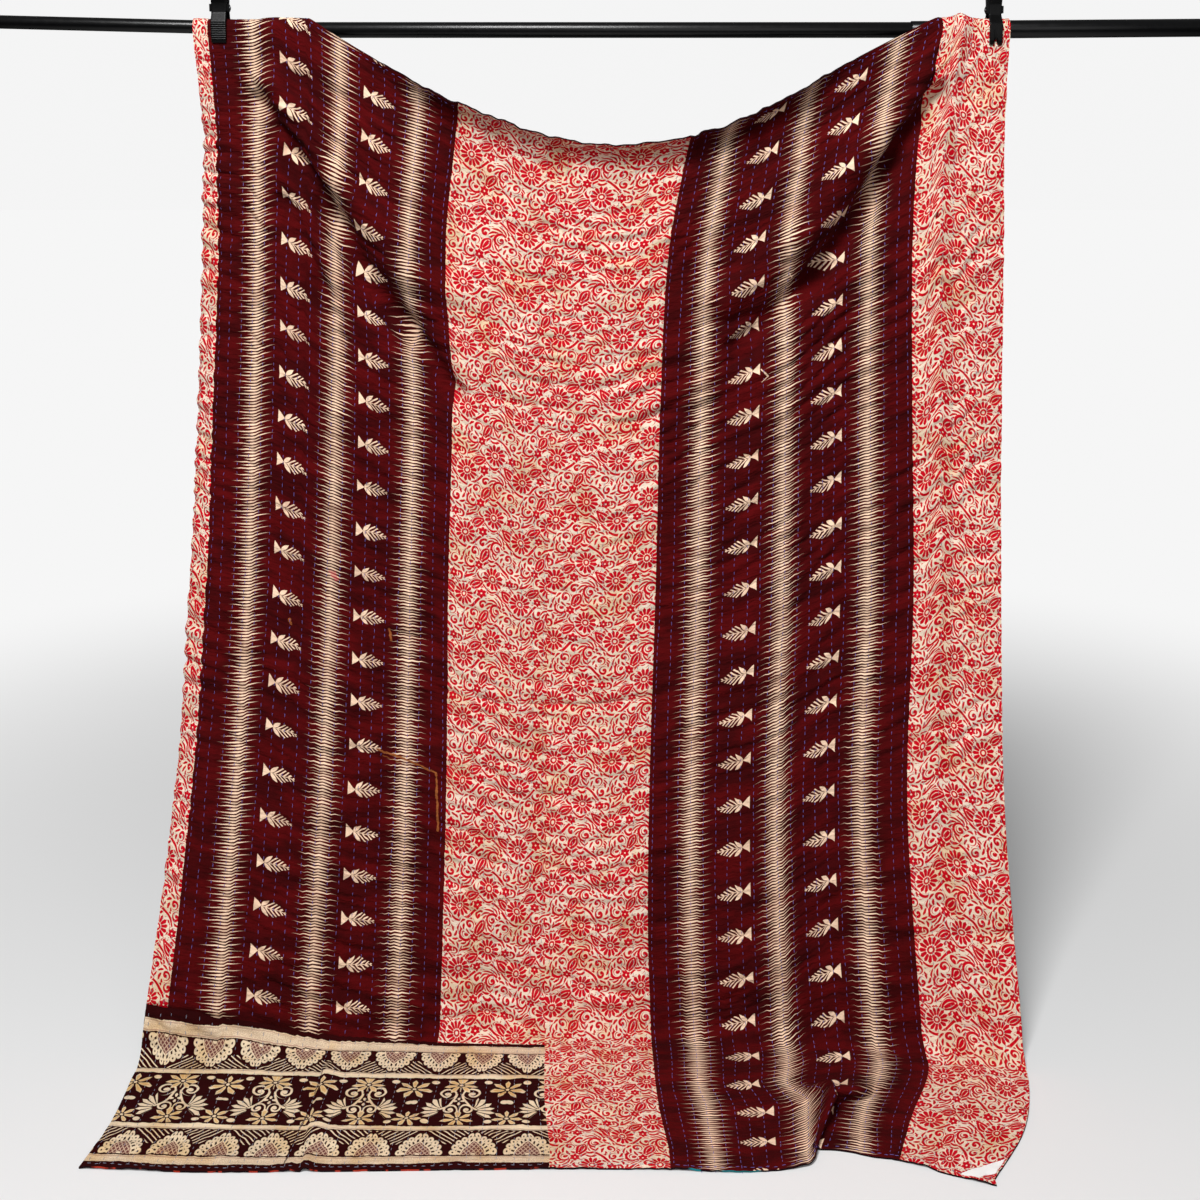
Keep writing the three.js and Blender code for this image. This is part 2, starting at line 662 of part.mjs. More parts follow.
// The outer tubes turn a little in their joints, so each has a group of its own there
const bar = new THREE.Group();
const reach = BAR.overlap / 2;
const leftBar = new THREE.Group();
leftBar.position.x = BAR.leftJoint;
leftBar.rotation.y = BAR.leftTilt;
const leftEnd = -BAR.halfLength - BAR.leftJoint;
place(leftBar, 'bar_left_tube', tube(BAR.leftRadius, leftEnd + BAR.plugFlange + GAP, reach), TUBE);
place(leftBar, 'bar_left_plug', plug(BAR.leftRadius, leftEnd, -1), NYLON);
const rightBar = new THREE.Group();
rightBar.position.x = BAR.rightJoint;
rightBar.rotation.y = -BAR.rightTilt;
const rightEnd = BAR.halfLength - BAR.rightJoint;
place(rightBar, 'bar_right_tube', tube(BAR.rightRadius, -reach, rightEnd - BAR.plugFlange - GAP), TUBE);
place(rightBar, 'bar_right_plug', plug(BAR.rightRadius, rightEnd, 1), NYLON);
place(bar, 'bar_middle_tube', tube(BAR.middleRadius, BAR.leftJoint - reach, BAR.rightJoint + reach), TUBE);
bar.add(leftBar, rightBar);

for (const spec of CLAMPS) {
  const grip = new THREE.Group();
  grip.position.set(spec.x, 0, barHeight(spec.x));
  place(grip, `${spec.name}_front_lever`, lever(spec, -1), NYLON);
  place(grip, `${spec.name}_back_lever`, lever(spec, 1), NYLON);
  place(grip, `${spec.name}_pin`, pin(spec), STEEL);
  place(grip, `${spec.name}_spring`, spring(spec), STEEL);
  quilt.add(grip);
}
quilt.add(bar);

export default quilt;
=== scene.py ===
import math

import bmesh
import bpy
import numpy as np
from mathutils import Matrix, Vector


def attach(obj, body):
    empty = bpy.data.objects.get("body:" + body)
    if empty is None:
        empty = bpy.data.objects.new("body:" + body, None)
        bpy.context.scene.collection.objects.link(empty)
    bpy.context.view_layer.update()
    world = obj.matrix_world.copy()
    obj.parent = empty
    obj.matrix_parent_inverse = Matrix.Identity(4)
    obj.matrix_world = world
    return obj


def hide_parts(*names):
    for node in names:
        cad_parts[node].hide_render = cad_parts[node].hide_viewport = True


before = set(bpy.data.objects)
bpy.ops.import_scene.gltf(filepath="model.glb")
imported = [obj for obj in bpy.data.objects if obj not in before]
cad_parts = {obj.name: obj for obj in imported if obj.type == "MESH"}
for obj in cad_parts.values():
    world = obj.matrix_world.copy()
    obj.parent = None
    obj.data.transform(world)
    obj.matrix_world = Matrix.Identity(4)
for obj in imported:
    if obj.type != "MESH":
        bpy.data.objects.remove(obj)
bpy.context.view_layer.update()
print("frame loaded:", len(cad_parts), "nodes")

mm = 0.001
body = "root"

# Camera

view = dict(
    place=(0, -2600, -176),  # mm, in front of the quilt
    pitch=8.3,  # degrees down
    focal=1553,  # pixels of the 1200 pixel frame
    horizonRow=365,  # row of the frame that the lens axis meets
    frameSize=1200,
    sensor=36,  # mm
)


def makeCamera():
    data = bpy.data.cameras.new("camera")
    data.sensor_width = view["sensor"]
    data.lens = view["sensor"] * view["focal"] / view["frameSize"]
    data.shift_y = (view["horizonRow"] - view["frameSize"] / 2) / view["frameSize"]
    data.clip_end = 60
    camera = bpy.data.objects.new("camera", data)
    camera.location = [v * mm for v in view["place"]]
    camera.rotation_euler = (math.radians(90 - view["pitch"]), 0, 0)
    bpy.context.scene.collection.objects.link(camera)
    bpy.context.scene.camera = camera


makeCamera()

# Drape of the whole quilt: the same sizes as the solids, in mm

quilt = dict(
    width=1435, length=1930, thickness=2.8, borderHeight=325, floor=-1656, floorGap=0.1,
    halfSolid=1.5,  # half the thickness of a solid
)
seams = [0, 40, 470, 656, 840, 1270, 1435]  # left edge, four seams, centre join, right edge
levels = np.array([  # distance down from the bar, then where each of those lines hangs
    (0, -665, -641, -222, -40, 156, 559, 669),
    (125, -657, -634, -230, -50, 150, 534, 665),
    (187, -657, -633, -238, -58, 144, 523, 664),
    (358, -662, -633, -255, -70, 114, 516, 666),
    (605, -672, -644, -246, -80, 101, 518, 665),
    (931, -685, -655, -254, -88, 93, 521, 663),
    (1251, -706, -676, -257, -90, 83, 509, 663),
    (1485, -727, -695, -262, -92, 80, 518, 675),
    (1640, -742, -708, -266, -92, 84, 528, 684),
    (1720, -743, -706, -270, -90, 86, 527, 679),
    (1840, -743, -706, -274, -86, 90, 476, 640),
    (1955, -760, -718, -280, -74, 102, 433, 566),
], float)
bar = dict(  # radius of each tube, where the tubes meet and how far the outer ones tilt
    left=10.9, middle=12.8, right=14.6, wall=1.2, halfLength=1060, overlap=30, gap=0.3,
    leftJoint=-455, rightJoint=525, leftTilt=math.radians(1.4), rightTilt=math.radians(0.45),
    plugDepth=18, plugFlange=3,
)
swag = dict(  # the top edge, turned over the bar at the sides and hanging in the middle
    lowAt=722, lowest=-190, overlap=60, flap=58, flapGrows=70, hemEnd=6,
    seat=0.6, looseSeat=2.6, loosens=(50, 95), leastTurn=math.radians(8),
    rollTurn=math.radians(62), rollRadius=58, rolls=(18, 110), forward=12,
    tuckAt=1316, tuckWidth=15, tuckHeight=7,
    left=dict(leave=205, powers=(1.66, 1.5)),
    right=dict(leave=166, powers=(1.2, 1.9)),
)
lean = dict(middle=165, side=262, power=1.7, bendRadius=48, step=12, bendStep=math.pi / 24)
curl = dict(width=72, depth=26, power=1.5, starts=(40, 200), ends=(1350, 1650))
hangingFolds = [  # from x, z to x, z, width, depth
    (-558, -114, -476, -245, 24, -9),
    (-521, -290, -462, -430, 22, -8),
    (-468, -415, -422, -565, 24, -6),
    (-455, -285, -330, -480, 25, -17),
    (-335, -470, -246, -597, 22, -11),
    (-541, -90, -440, -230, 30, 7),
    (-435, -237, -320, -392, 32, 10),
    (549, -106, 487, -196, 22, -13),
    (480, -215, 360, -405, 25, -17),
    (365, -400, 230, -523, 23, -10),
    (533, -74, 459, -180, 28, 6),
    (455, -185, 328, -335, 32, 10),
    (328, -335, 205, -441, 28, 7),
    (150, -245, 340, -160, 26, -8),
    (-480, -640, -520, -1500, 85, 9),
    (-330, -620, -345, -1480, 60, -7),
    (-88, -430, -92, -1500, 34, -7),
    (10, -430, 0, -1450, 60, 6),
    (-180, -430, -180, -1450, 60, 6),
    (255, -560, 240, -1520, 80, 9),
    (420, -480, 410, -1500, 55, -8),
    (590, -330, 600, -1500, 55, 6),
]
fade = dict(below=(15, 90), bend=(1, 1.45), floor=(1.3, math.pi / 2))
hemLine = np.array([  # across, how far forward the bottom hem lies
    (0, -538), (180, -547), (656, -540), (840, -542), (960, -547), (1050, -534), (1092, -508),
    (1160, -497), (1215, -513), (1270, -522), (1360, -553), (1435, -577)], float)
floorFolds = [(-436, -300, -430, -600, 18, 7)]
pleat = dict(  # the fold that laps over itself at the right of the foot
    rises=(-325, -405),
    settles=(-425, -508),  # from its peak to the hem, where it is low and lies to the left
    spread=1.3, lift=1.2, settledLift=0.25,
    peak=np.array([  # across, sideways shift, lift
        (840, 0, 0), (1000, 20, 0), (1050, 30, 9), (1075, 31, 25), (1092, 32, 38), (1107, 24, 31),
        (1124, 2, 18), (1142, -21, 8), (1160, -27, 1), (1185, -23, 0), (1270, 0, 0)], float),
    slide=np.array([  # across, sideways shift of the layer under it
        (1100, 0), (1124, 6), (1145, 15), (1170, 18), (1200, 16), (1235, 7), (1270, 0)], float),
    hem=np.array([  # across, sideways shift at the hem
        (840, 0), (1000, 26), (1050, 40), (1075, 34), (1092, 22), (1107, 5), (1124, -10), (1142, -21),
        (1152, -19), (1168, -10), (1195, 2), (1235, 6), (1270, 0)], float),
)
tuckedRoll = dict(line=(366, -360, 404, -350), width=19, lift=26, forward=36, below=1650)  # behind the pleat


def ease(low, high, x):
    t = np.clip((np.asarray(x, float) - low) / (high - low), 0, 1)
    return t * t * (3 - 2 * t)


def mixed(a, b, t):
    return a + (b - a) * t


def curveThrough(keys, values, at):  # smooth curve through the rows of a table
    slopes = np.empty_like(values)
    slopes[1:-1] = (values[2:] - values[:-2]) / (keys[2:] - keys[:-2])
    slopes[0] = (values[1] - values[0]) / (keys[1] - keys[0])
    slopes[-1] = (values[-1] - values[-2]) / (keys[-1] - keys[-2])
    i = np.clip(np.searchsorted(keys, at) - 1, 0, len(keys) - 2)
    width = keys[i + 1] - keys[i]
    t = np.clip((at - keys[i]) / width, 0, 1)
    rise = values[i + 1] - values[i]
    h, k = slopes[i] * width, slopes[i + 1] * width
    return values[i] + t * (h + t * (3 * rise - 2 * h - k + t * (h + k - 2 * rise)))


def readTable(table, column, across):  # one column of a table at a place across the cloth
    return float(curveThrough(table[:, 0], table[:, column], np.array(float(across))))


def acrossAt(across, reach):  # where a line of the cloth hangs at each distance down
    i = int(np.clip(np.searchsorted(seams, across) - 1, 0, len(seams) - 2))
    t = (across - seams[i]) / (seams[i + 1] - seams[i])
    ends = [curveThrough(levels[:, 0], levels[:, 1 + j], reach) for j in (i, i + 1)]
    return mixed(ends[0], ends[1], t)


def barHeight(x):
    if x < bar["leftJoint"]:
        return (bar["leftJoint"] - x) * math.tan(bar["leftTilt"])
    if x > bar["rightJoint"]:
        return (x - bar["rightJoint"]) * math.tan(bar["rightTilt"])
    return 0.0


def makeColumn(across):  # one line of the cloth from its top hem to its bottom hem
    onLeft = across < swag["lowAt"]
    side = swag["left"] if onLeft else swag["right"]
    past = (across if onLeft else quilt["width"] - across) - side["leave"]
    span = (swag["lowAt"] if onLeft else quilt["width"] - swag["lowAt"]) - side["leave"]
    loose = 1 - float(ease(*swag["loosens"], -past))
    barRadius = mixed(bar["left"], bar["middle"], loose) if onLeft else bar["right"]
    tuck = swag["tuckHeight"] * math.exp(-(((across - swag["tuckAt"]) / swag["tuckWidth"]) ** 2))
    grip = barRadius + mixed(swag["seat"], swag["looseSeat"], loose) + quilt["halfSolid"] + tuck
    barZ = barHeight(float(acrossAt(across, np.array(0.0))))
    top = barZ + grip
    sagged = min(max(past / span, 0), 1)
    crest = swag["lowest"] + (top - swag["lowest"]) * (1 - sagged) ** mixed(*side["powers"], sagged)
    rolled = float(ease(*swag["rolls"], barZ - crest))
    radius = mixed(grip, swag["rollRadius"], rolled)
    turn = math.asin(min(max((crest - barZ) / grip, 0), 1))
    if past <= 0:
        turn = math.pi / 2 * (1 + float(ease(0, swag["overlap"], -past)))
    turn = max(turn, swag["rollTurn"] * rolled, swag["leastTurn"])
    centreZ = barZ if past <= 0 else min(barZ, crest - radius * math.sin(turn))
    front = -grip - swag["forward"] * rolled
    bend = 1 - 2 * float(ease(0, swag["rolls"][0], barZ - crest))  # the lip rolls to the front
    grown = float(ease(swag["overlap"], swag["overlap"] + swag["flapGrows"], -past))
    flap = swag["hemEnd"] + swag["flap"] * grown
    leans = mixed(lean["middle"], lean["side"], abs(2 * across / quilt["width"] - 1) ** 2)
    low = quilt["floor"] + quilt["halfSolid"]
    line = [(front, centreZ, 0.0)]  # y, z and the cloth's slope
    y, z, angle = line[0]
    while z - low > lean["bendRadius"] * (1 - math.sin(angle)):
        z -= lean["step"]
        down = (centreZ - z) / (centreZ - low)
        angle = math.atan(leans * lean["power"] / (centreZ - low) * down ** (lean["power"] - 1))
        y = front - leans * down ** lean["power"]
        line.append((y, z, angle))
    radiusLow = (z - low) / (1 - math.sin(angle))
    bends = math.ceil((math.pi / 2 - angle) / lean["bendStep"])
    for i in range(1, bends + 1):
        turned = mixed(angle, math.pi / 2, i / bends)
        line.append((y - radiusLow * (math.cos(angle) - math.cos(turned)),
                     z - radiusLow * (math.sin(turned) - math.sin(angle)), turned))
    line.append((readTable(hemLine, 1, across), low, math.pi / 2))
    line = np.array(line)
    run = np.concatenate([[0], np.cumsum(np.hypot(np.diff(line[:, 0]), np.diff(line[:, 1])))])
    wrapped = flap + radius * turn
    return dict(turn=turn, radius=radius, bend=bend, flap=flap, wrapped=wrapped, front=front, centreZ=centreZ,
                line=line, run=run, length=wrapped + run[-1])


def foldAt(x, y, fold):
    fromX, fromY, toX, toY, width = fold[:5]
    length = math.hypot(toX - fromX, toY - fromY)
    dx, dy = (toX - fromX) / length, (toY - fromY) / length
    along = (x - fromX) * dx + (y - fromY) * dy
    off = (x - fromX) * dy - (y - fromY) * dx
    beyond = np.maximum(np.maximum(-along, along - length), 0)
    return np.exp(-(off * off + beyond * beyond) / (width * width))


def drapeColumn(across, shares):  # points of one column at shares of its length
    col = makeColumn(across)
    distance = shares * col["length"]
    angle = col["turn"] - np.maximum(distance - col["flap"], 0) / col["radius"]
    before = np.maximum(col["flap"] - distance, 0)
    y = col["front"] + col["bend"] * (col["radius"] * (1 - np.cos(angle)) + before * np.sin(angle))
    z = col["centreZ"] + col["radius"] * np.sin(angle) + before * np.cos(angle)
    hung = distance >= col["wrapped"]
    run = distance - col["wrapped"]
    y = np.where(hung, np.interp(run, col["run"], col["line"][:, 0]), y)
    z = np.where(hung, np.interp(run, col["run"], col["line"][:, 1]), z)
    angle = np.where(hung, np.interp(run, col["run"], col["line"][:, 2]), angle)
    reach = run - col["centreZ"]
    x = acrossAt(across, reach)
    hangs = ease(*fade["below"], run) * (1 - ease(*fade["bend"], angle))
    bulge = sum(fold[5] * foldAt(x, z, fold) for fold in hangingFolds) * hangs
    curled = max(1 - across / curl["width"], 0) ** curl["power"]
    bulge -= curl["depth"] * curled * ease(*curl["starts"], reach) * (1 - ease(*curl["ends"], reach))
    lift = sum(fold[5] * foldAt(x, y, fold) for fold in floorFolds) * ease(*fade["floor"], angle)
    if seams[4] < across < seams[5]:
        risen = ease(*pleat["rises"], y)
        settled = ease(*pleat["settles"], y)
        shift, rise = [readTable(pleat["peak"], column, across) for column in (1, 2)]
        atPeak = max(shift, 0) * pleat["spread"] + min(shift, 0) + readTable(pleat["slide"], 1, across)
        x = x + risen * mixed(atPeak, readTable(pleat["hem"], 1, across), settled)
        lift = lift + risen * max(rise, 0) * mixed(pleat["lift"], pleat["settledLift"], settled)
    points = np.stack([x, y - bulge * np.cos(angle), z + bulge * np.sin(angle) + lift], 1)
    return points, hangs, run, col["flap"]


# Fine grid of the sheet, with a close pair of lines beside each seam

grid = dict(across=5.6, down=4.3, seamSide=1.6)


def spreadLines(stops, step, side):
    lines, marks = [], []
    for a, b in zip(stops[:-1], stops[1:]):
        inner = np.linspace(a + side, b - side, max(2, round((b - a - 2 * side) / step)) + 1)
        marks.append(len(lines))
        lines += [a, *inner]
    marks.append(len(lines))
    lines.append(stops[-1])
    return np.array(lines), marks


columnAcross, seamColumn = spreadLines(seams, grid["across"], grid["seamSide"])
borderTop = quilt["length"] - quilt["borderHeight"]
rowStops = [0, borderTop, quilt["length"]]
rowFlat, seamRow = spreadLines(rowStops, grid["down"], grid["seamSide"])
rowShare = rowFlat / quilt["length"]

draped = [drapeColumn(across, rowShare) for across in columnAcross]
place = np.array([column[0] for column in draped])  # columns, rows, x y z
hangs = np.array([column[1] for column in draped])
below = np.array([column[2] for column in draped])  # distance below the turn over the bar
flatU, flatV = np.meshgrid(columnAcross, rowFlat, indexing="ij")
turnedOver = np.array([column[3] for column in draped])[:, None] - swag["hemEnd"]
printV = flatV - turnedOver * (1 - flatV / quilt["length"])  # keeps the print level under a turned hem
print("drape worked out:", place.shape)


def faceNormals(points):
    across = np.gradient(points, columnAcross, axis=0)
    down = np.gradient(points, rowFlat, axis=1)
    normal = np.cross(down, across)
    return normal / np.linalg.norm(normal, axis=2, keepdims=True)


def softNoise(u, v, sizeU, sizeV, seed):  # smooth lumps from -1 to 1, of a set size in mm
    cells = 256
    draws = np.random.default_rng(seed).uniform(-1, 1, (cells, cells))
    x, y = u / sizeU + 7.3 * seed, v / sizeV + 3.1 * seed
    i, j = np.floor(x).astype(int), np.floor(y).astype(int)
    s, t = x - i, y - j
    s, t = s * s * (3 - 2 * s), t * t * (3 - 2 * t)

    def corner(a, b):
        return draws[(i + a) % cells, (j + b) % cells]

    return mixed(mixed(corner(0, 0), corner(1, 0), s), mixed(corner(0, 1), corner(1, 1), s), t)


# Creases, puckers and seams of the cloth, raised along its own face

creases = [  # front view in mm: points x, z along the crease, width, depth
    ([(-558, -114), (-476, -245), (-435, -311), (-394, -409), (-328, -482), (-246, -597)], 20, -17),
    ([(-541, -90), (-467, -188), (-435, -237), (-344, -343), (-320, -392), (-240, -430)], 25, 13),
    ([(-521, -276), (-470, -400), (-433, -515), (-420, -600)], 14, -10),
    ([(549, -106), (487, -196), (435, -302), (353, -409), (312, -441), (230, -523)], 20, -17),
    ([(533, -74), (459, -180), (394, -245), (328, -335), (262, -392), (205, -441)], 25, 13),
    ([(120, -330), (230, -285), (340, -225), (430, -160)], 36, 6),
    ([(-440, -150), (-340, -215), (-262, -262)], 34, 5),
    ([(140, -245), (221, -206), (353, -157), (394, -125), (470, -62)], 11, -6),
    ([(-418, -67), (-328, -133), (-238, -179)], 10, -5),
    ([(-238, -192), (-100, -230), (20, -238), (140, -238)], 12, -4),
    ([(-520, -62), (-390, -128), (-280, -190)], 8, -3),
    ([(-500, -90), (-380, -160), (-300, -215)], 9, -2.6),
    ([(-310, -240), (-235, -232)], 9, -3.5),
    ([(-300, -474), (-238, -480)], 9, -4),
    ([(-292, -523), (-238, -530)], 9, -4),
    ([(-640, -330), (-600, -335)], 9, -2.4),
    ([(-636, -520), (-590, -528)], 9, -2.4),
    ([(85, -430), (150, -420)], 9, -4),
    ([(85, -503), (160, -490), (260, -462)], 10, -5),
    ([(88, -560), (170, -548)], 9, -4),
    ([(85, -634), (180, -622), (262, -590)], 10, -5),
    ([(190, -392), (300, -372)], 10, -4),
    ([(330, -520), (440, -500)], 10, -3.4),
    ([(105, -690), (210, -650)], 9, -2.8),
    ([(-180, -602), (-130, -614), (-84, -626)], 7, -5),
    ([(-152, -568), (-112, -576), (-80, -592)], 7, -5),
    ([(-6, -548), (44, -536), (92, -532)], 7, -5),
    ([(-10, -642), (40, -644), (90, -640)], 7, -4.6),
    ([(14, -744), (66, -742), (92, -738)], 7, -4),
    ([(-262, -1090), (-210, -1101), (-160, -1109), (-88, -1119), (20, -1111), (111, -1095)], 6, -5),
    ([(-200, -1290), (-120, -1286)], 9, -2.4),
    ([(-20, -1250), (60, -1262)], 9, -2.4),
    ([(94, -1085), (190, -1100)], 9, -2.8),
    ([(570, -12), (545, -60)], 8, -5),
    ([(-300, -960), (-246, -1080)], 14, -4),
    ([(-600, -1180), (-520, -1210)], 9, -2.2),
    ([(520, -1480), (690, -1462)], 10, -3.4),
    ([(330, -1500), (520, -1478)], 9, -3),
]
floorCreases = [  # seen from above in mm: points x, y along the crease, width, depth
    ([(-450, -285), (-447, -380), (-443, -470), (-438, -545)], 6, -6),
]
pucker = dict(  # lumps that the running stitches draw up: size across, size down, height
    fine=(30, 8.5, 1.5),
    middle=(56, 17, 1.9),
    broad=(150, 210, 2.6),
    rowPitch=21, rowDepth=0.5,
    seamDepth=1.1, seamWidth=1.4, hemRise=0.7, hemWidth=14, hemStep=3,
    clear=(6, 60), onBar=0.25, onSwag=0.8,  # lower where the cloth lies on the bar, or hangs from it
)
ripples = [  # pitch, height, patch across, patch down, slant
    (33, 2.6, 190, 120, 0.24),
    (19, 1.5, 120, 90, 0.16),
]
rippleWander = dict(across=120, down=160, share=0.9, seed=4)
ripplePatch = dict(middle=0.35, swing=0.9)  # how much of the cloth they cover


def creaseAt(x, y, line, width):  # a soft trough along a line of points
    return np.max([foldAt(x, y, (*a, *b, width)) for a, b in zip(line, line[1:])], axis=0)


def lumpsOf(kind, seed):
    sizeU, sizeV, rise = pucker[kind]
    return rise * softNoise(flatU, flatV, sizeU, sizeV, seed)


def grooveAt(offset):
    return pucker["seamDepth"] * np.exp(-((offset / pucker["seamWidth"]) ** 2))


def reliefOf(points):
    x, y, z = points[..., 0], points[..., 1], points[..., 2]
    away = ease(*pucker["clear"], below)
    height = np.zeros_like(x)
    for line, width, depth in creases:
        height += depth * creaseAt(x, z, line, width) * away
    lies = (1 - hangs) * (flatV > borderTop)
    for line, width, depth in floorCreases:
        height += depth * creaseAt(x, y, line, width) * lies
    wander = softNoise(flatU, flatV, rippleWander["across"], rippleWander["down"], rippleWander["seed"])
    for pitch, rise, sizeU, sizeV, slant in ripples:
        phase = flatV + slant * np.abs(flatU - swag["lowAt"]) + pitch * rippleWander["share"] * wander
        patch = ripplePatch["swing"] * softNoise(flatU, flatV, sizeU, sizeV, int(pitch))
        patch = np.clip(ripplePatch["middle"] + patch, 0, 1)
        height += rise * np.sin(2 * np.pi * phase / pitch) * patch * away * hangs
    bumps = lumpsOf("fine", 1) + lumpsOf("middle", 2)
    bumps -= pucker["rowDepth"] * np.cos(2 * np.pi * flatU / pucker["rowPitch"])
    drawnUp = np.maximum(mixed(pucker["onBar"], 1, away), pucker["onSwag"] * sagging)
    height += drawnUp * bumps + lumpsOf("broad", 3) * hangs
    above = flatV <= borderTop
    for line, seam in enumerate(seams[1:-1], 1):
        sewn = above if line < 3 else np.ones_like(above)  # the two left seams stop at the border
        height -= sewn * grooveAt(flatU - seam)
    height -= (flatU <= seams[3]) * grooveAt(flatV - borderTop)
    edge = np.minimum(np.minimum(flatU, quilt["width"] - flatU), np.minimum(flatV, quilt["length"] - flatV))
    inside = ease(pucker["hemWidth"] - pucker["hemStep"], pucker["hemWidth"], edge)
    height += pucker["hemRise"] * (1 - inside) * away
    return height


swagEdge = dict(  # waves of the hanging top hem: height, how soon they die down, size across, size down
    hangs=(30, 90),
    forward=(3.2, 30, 17, 40),
    upward=(2.4, 22, 13, 60),
)


def edgeWaves(way, seed):
    height, reach, sizeU, sizeV = swagEdge[way]
    return height * sagging * np.exp(-flatV / reach) * softNoise(flatU, flatV, sizeU, sizeV, seed)


sagging = ease(*swagEdge["hangs"], -place[:, :1, 2])  # where the top hem hangs free of the bar
normal = faceNormals(place)
place = place + normal * reliefOf(place)[..., None]
place[..., 1] += edgeWaves("forward", 10)
place[..., 2] += edgeWaves("upward", 9)
roll = foldAt(place[..., 0], place[..., 1], (*tuckedRoll["line"], tuckedRoll["width"]))
roll *= flatV > tuckedRoll["below"]
place[..., 1] -= tuckedRoll["forward"] * roll
place[..., 2] += tuckedRoll["lift"] * roll
floorTop = quilt["floor"] + quilt["thickness"] / 2 + quilt["floorGap"]
place[..., 2] = np.maximum(place[..., 2], floorTop)
normal = faceNormals(place)
print("relief raised")


def sampleSheet(u, v):  # place and normal at a flat point, or at many
    i = np.clip(np.searchsorted(columnAcross, u) - 1, 0, len(columnAcross) - 2)
    k = np.clip(np.searchsorted(rowFlat, v) - 1, 0, len(rowFlat) - 2)
    s = ((u - columnAcross[i]) / (columnAcross[i + 1] - columnAcross[i]))[..., None]
    t = ((v - rowFlat[k]) / (rowFlat[k + 1] - rowFlat[k]))[..., None]
    found = []
    for field in (place, normal):
        upper = mixed(field[i, k], field[i + 1, k], s)
        lower = mixed(field[i, k + 1], field[i + 1, k + 1], s)
        found.append(mixed(upper, lower, t))
    return found


# Materials: patterns are drawn in mm of the flat cloth


class Field:  # a number over the cloth, so that a pattern reads as a sum
    def __init__(self, pen, socket):
        self.pen, self.socket = pen, socket

    def __add__(self, other):
        return self.pen.math("ADD", self, other)

    def __sub__(self, other):
        return self.pen.math("SUBTRACT", self, other)

    def __rsub__(self, other):
        return self.pen.math("SUBTRACT", other, self)

    def __mul__(self, other):
        return self.pen.math("MULTIPLY", self, other)

    def __abs__(self):
        return self.pen.math("ABSOLUTE", self)

    __radd__, __rmul__ = __add__, __mul__


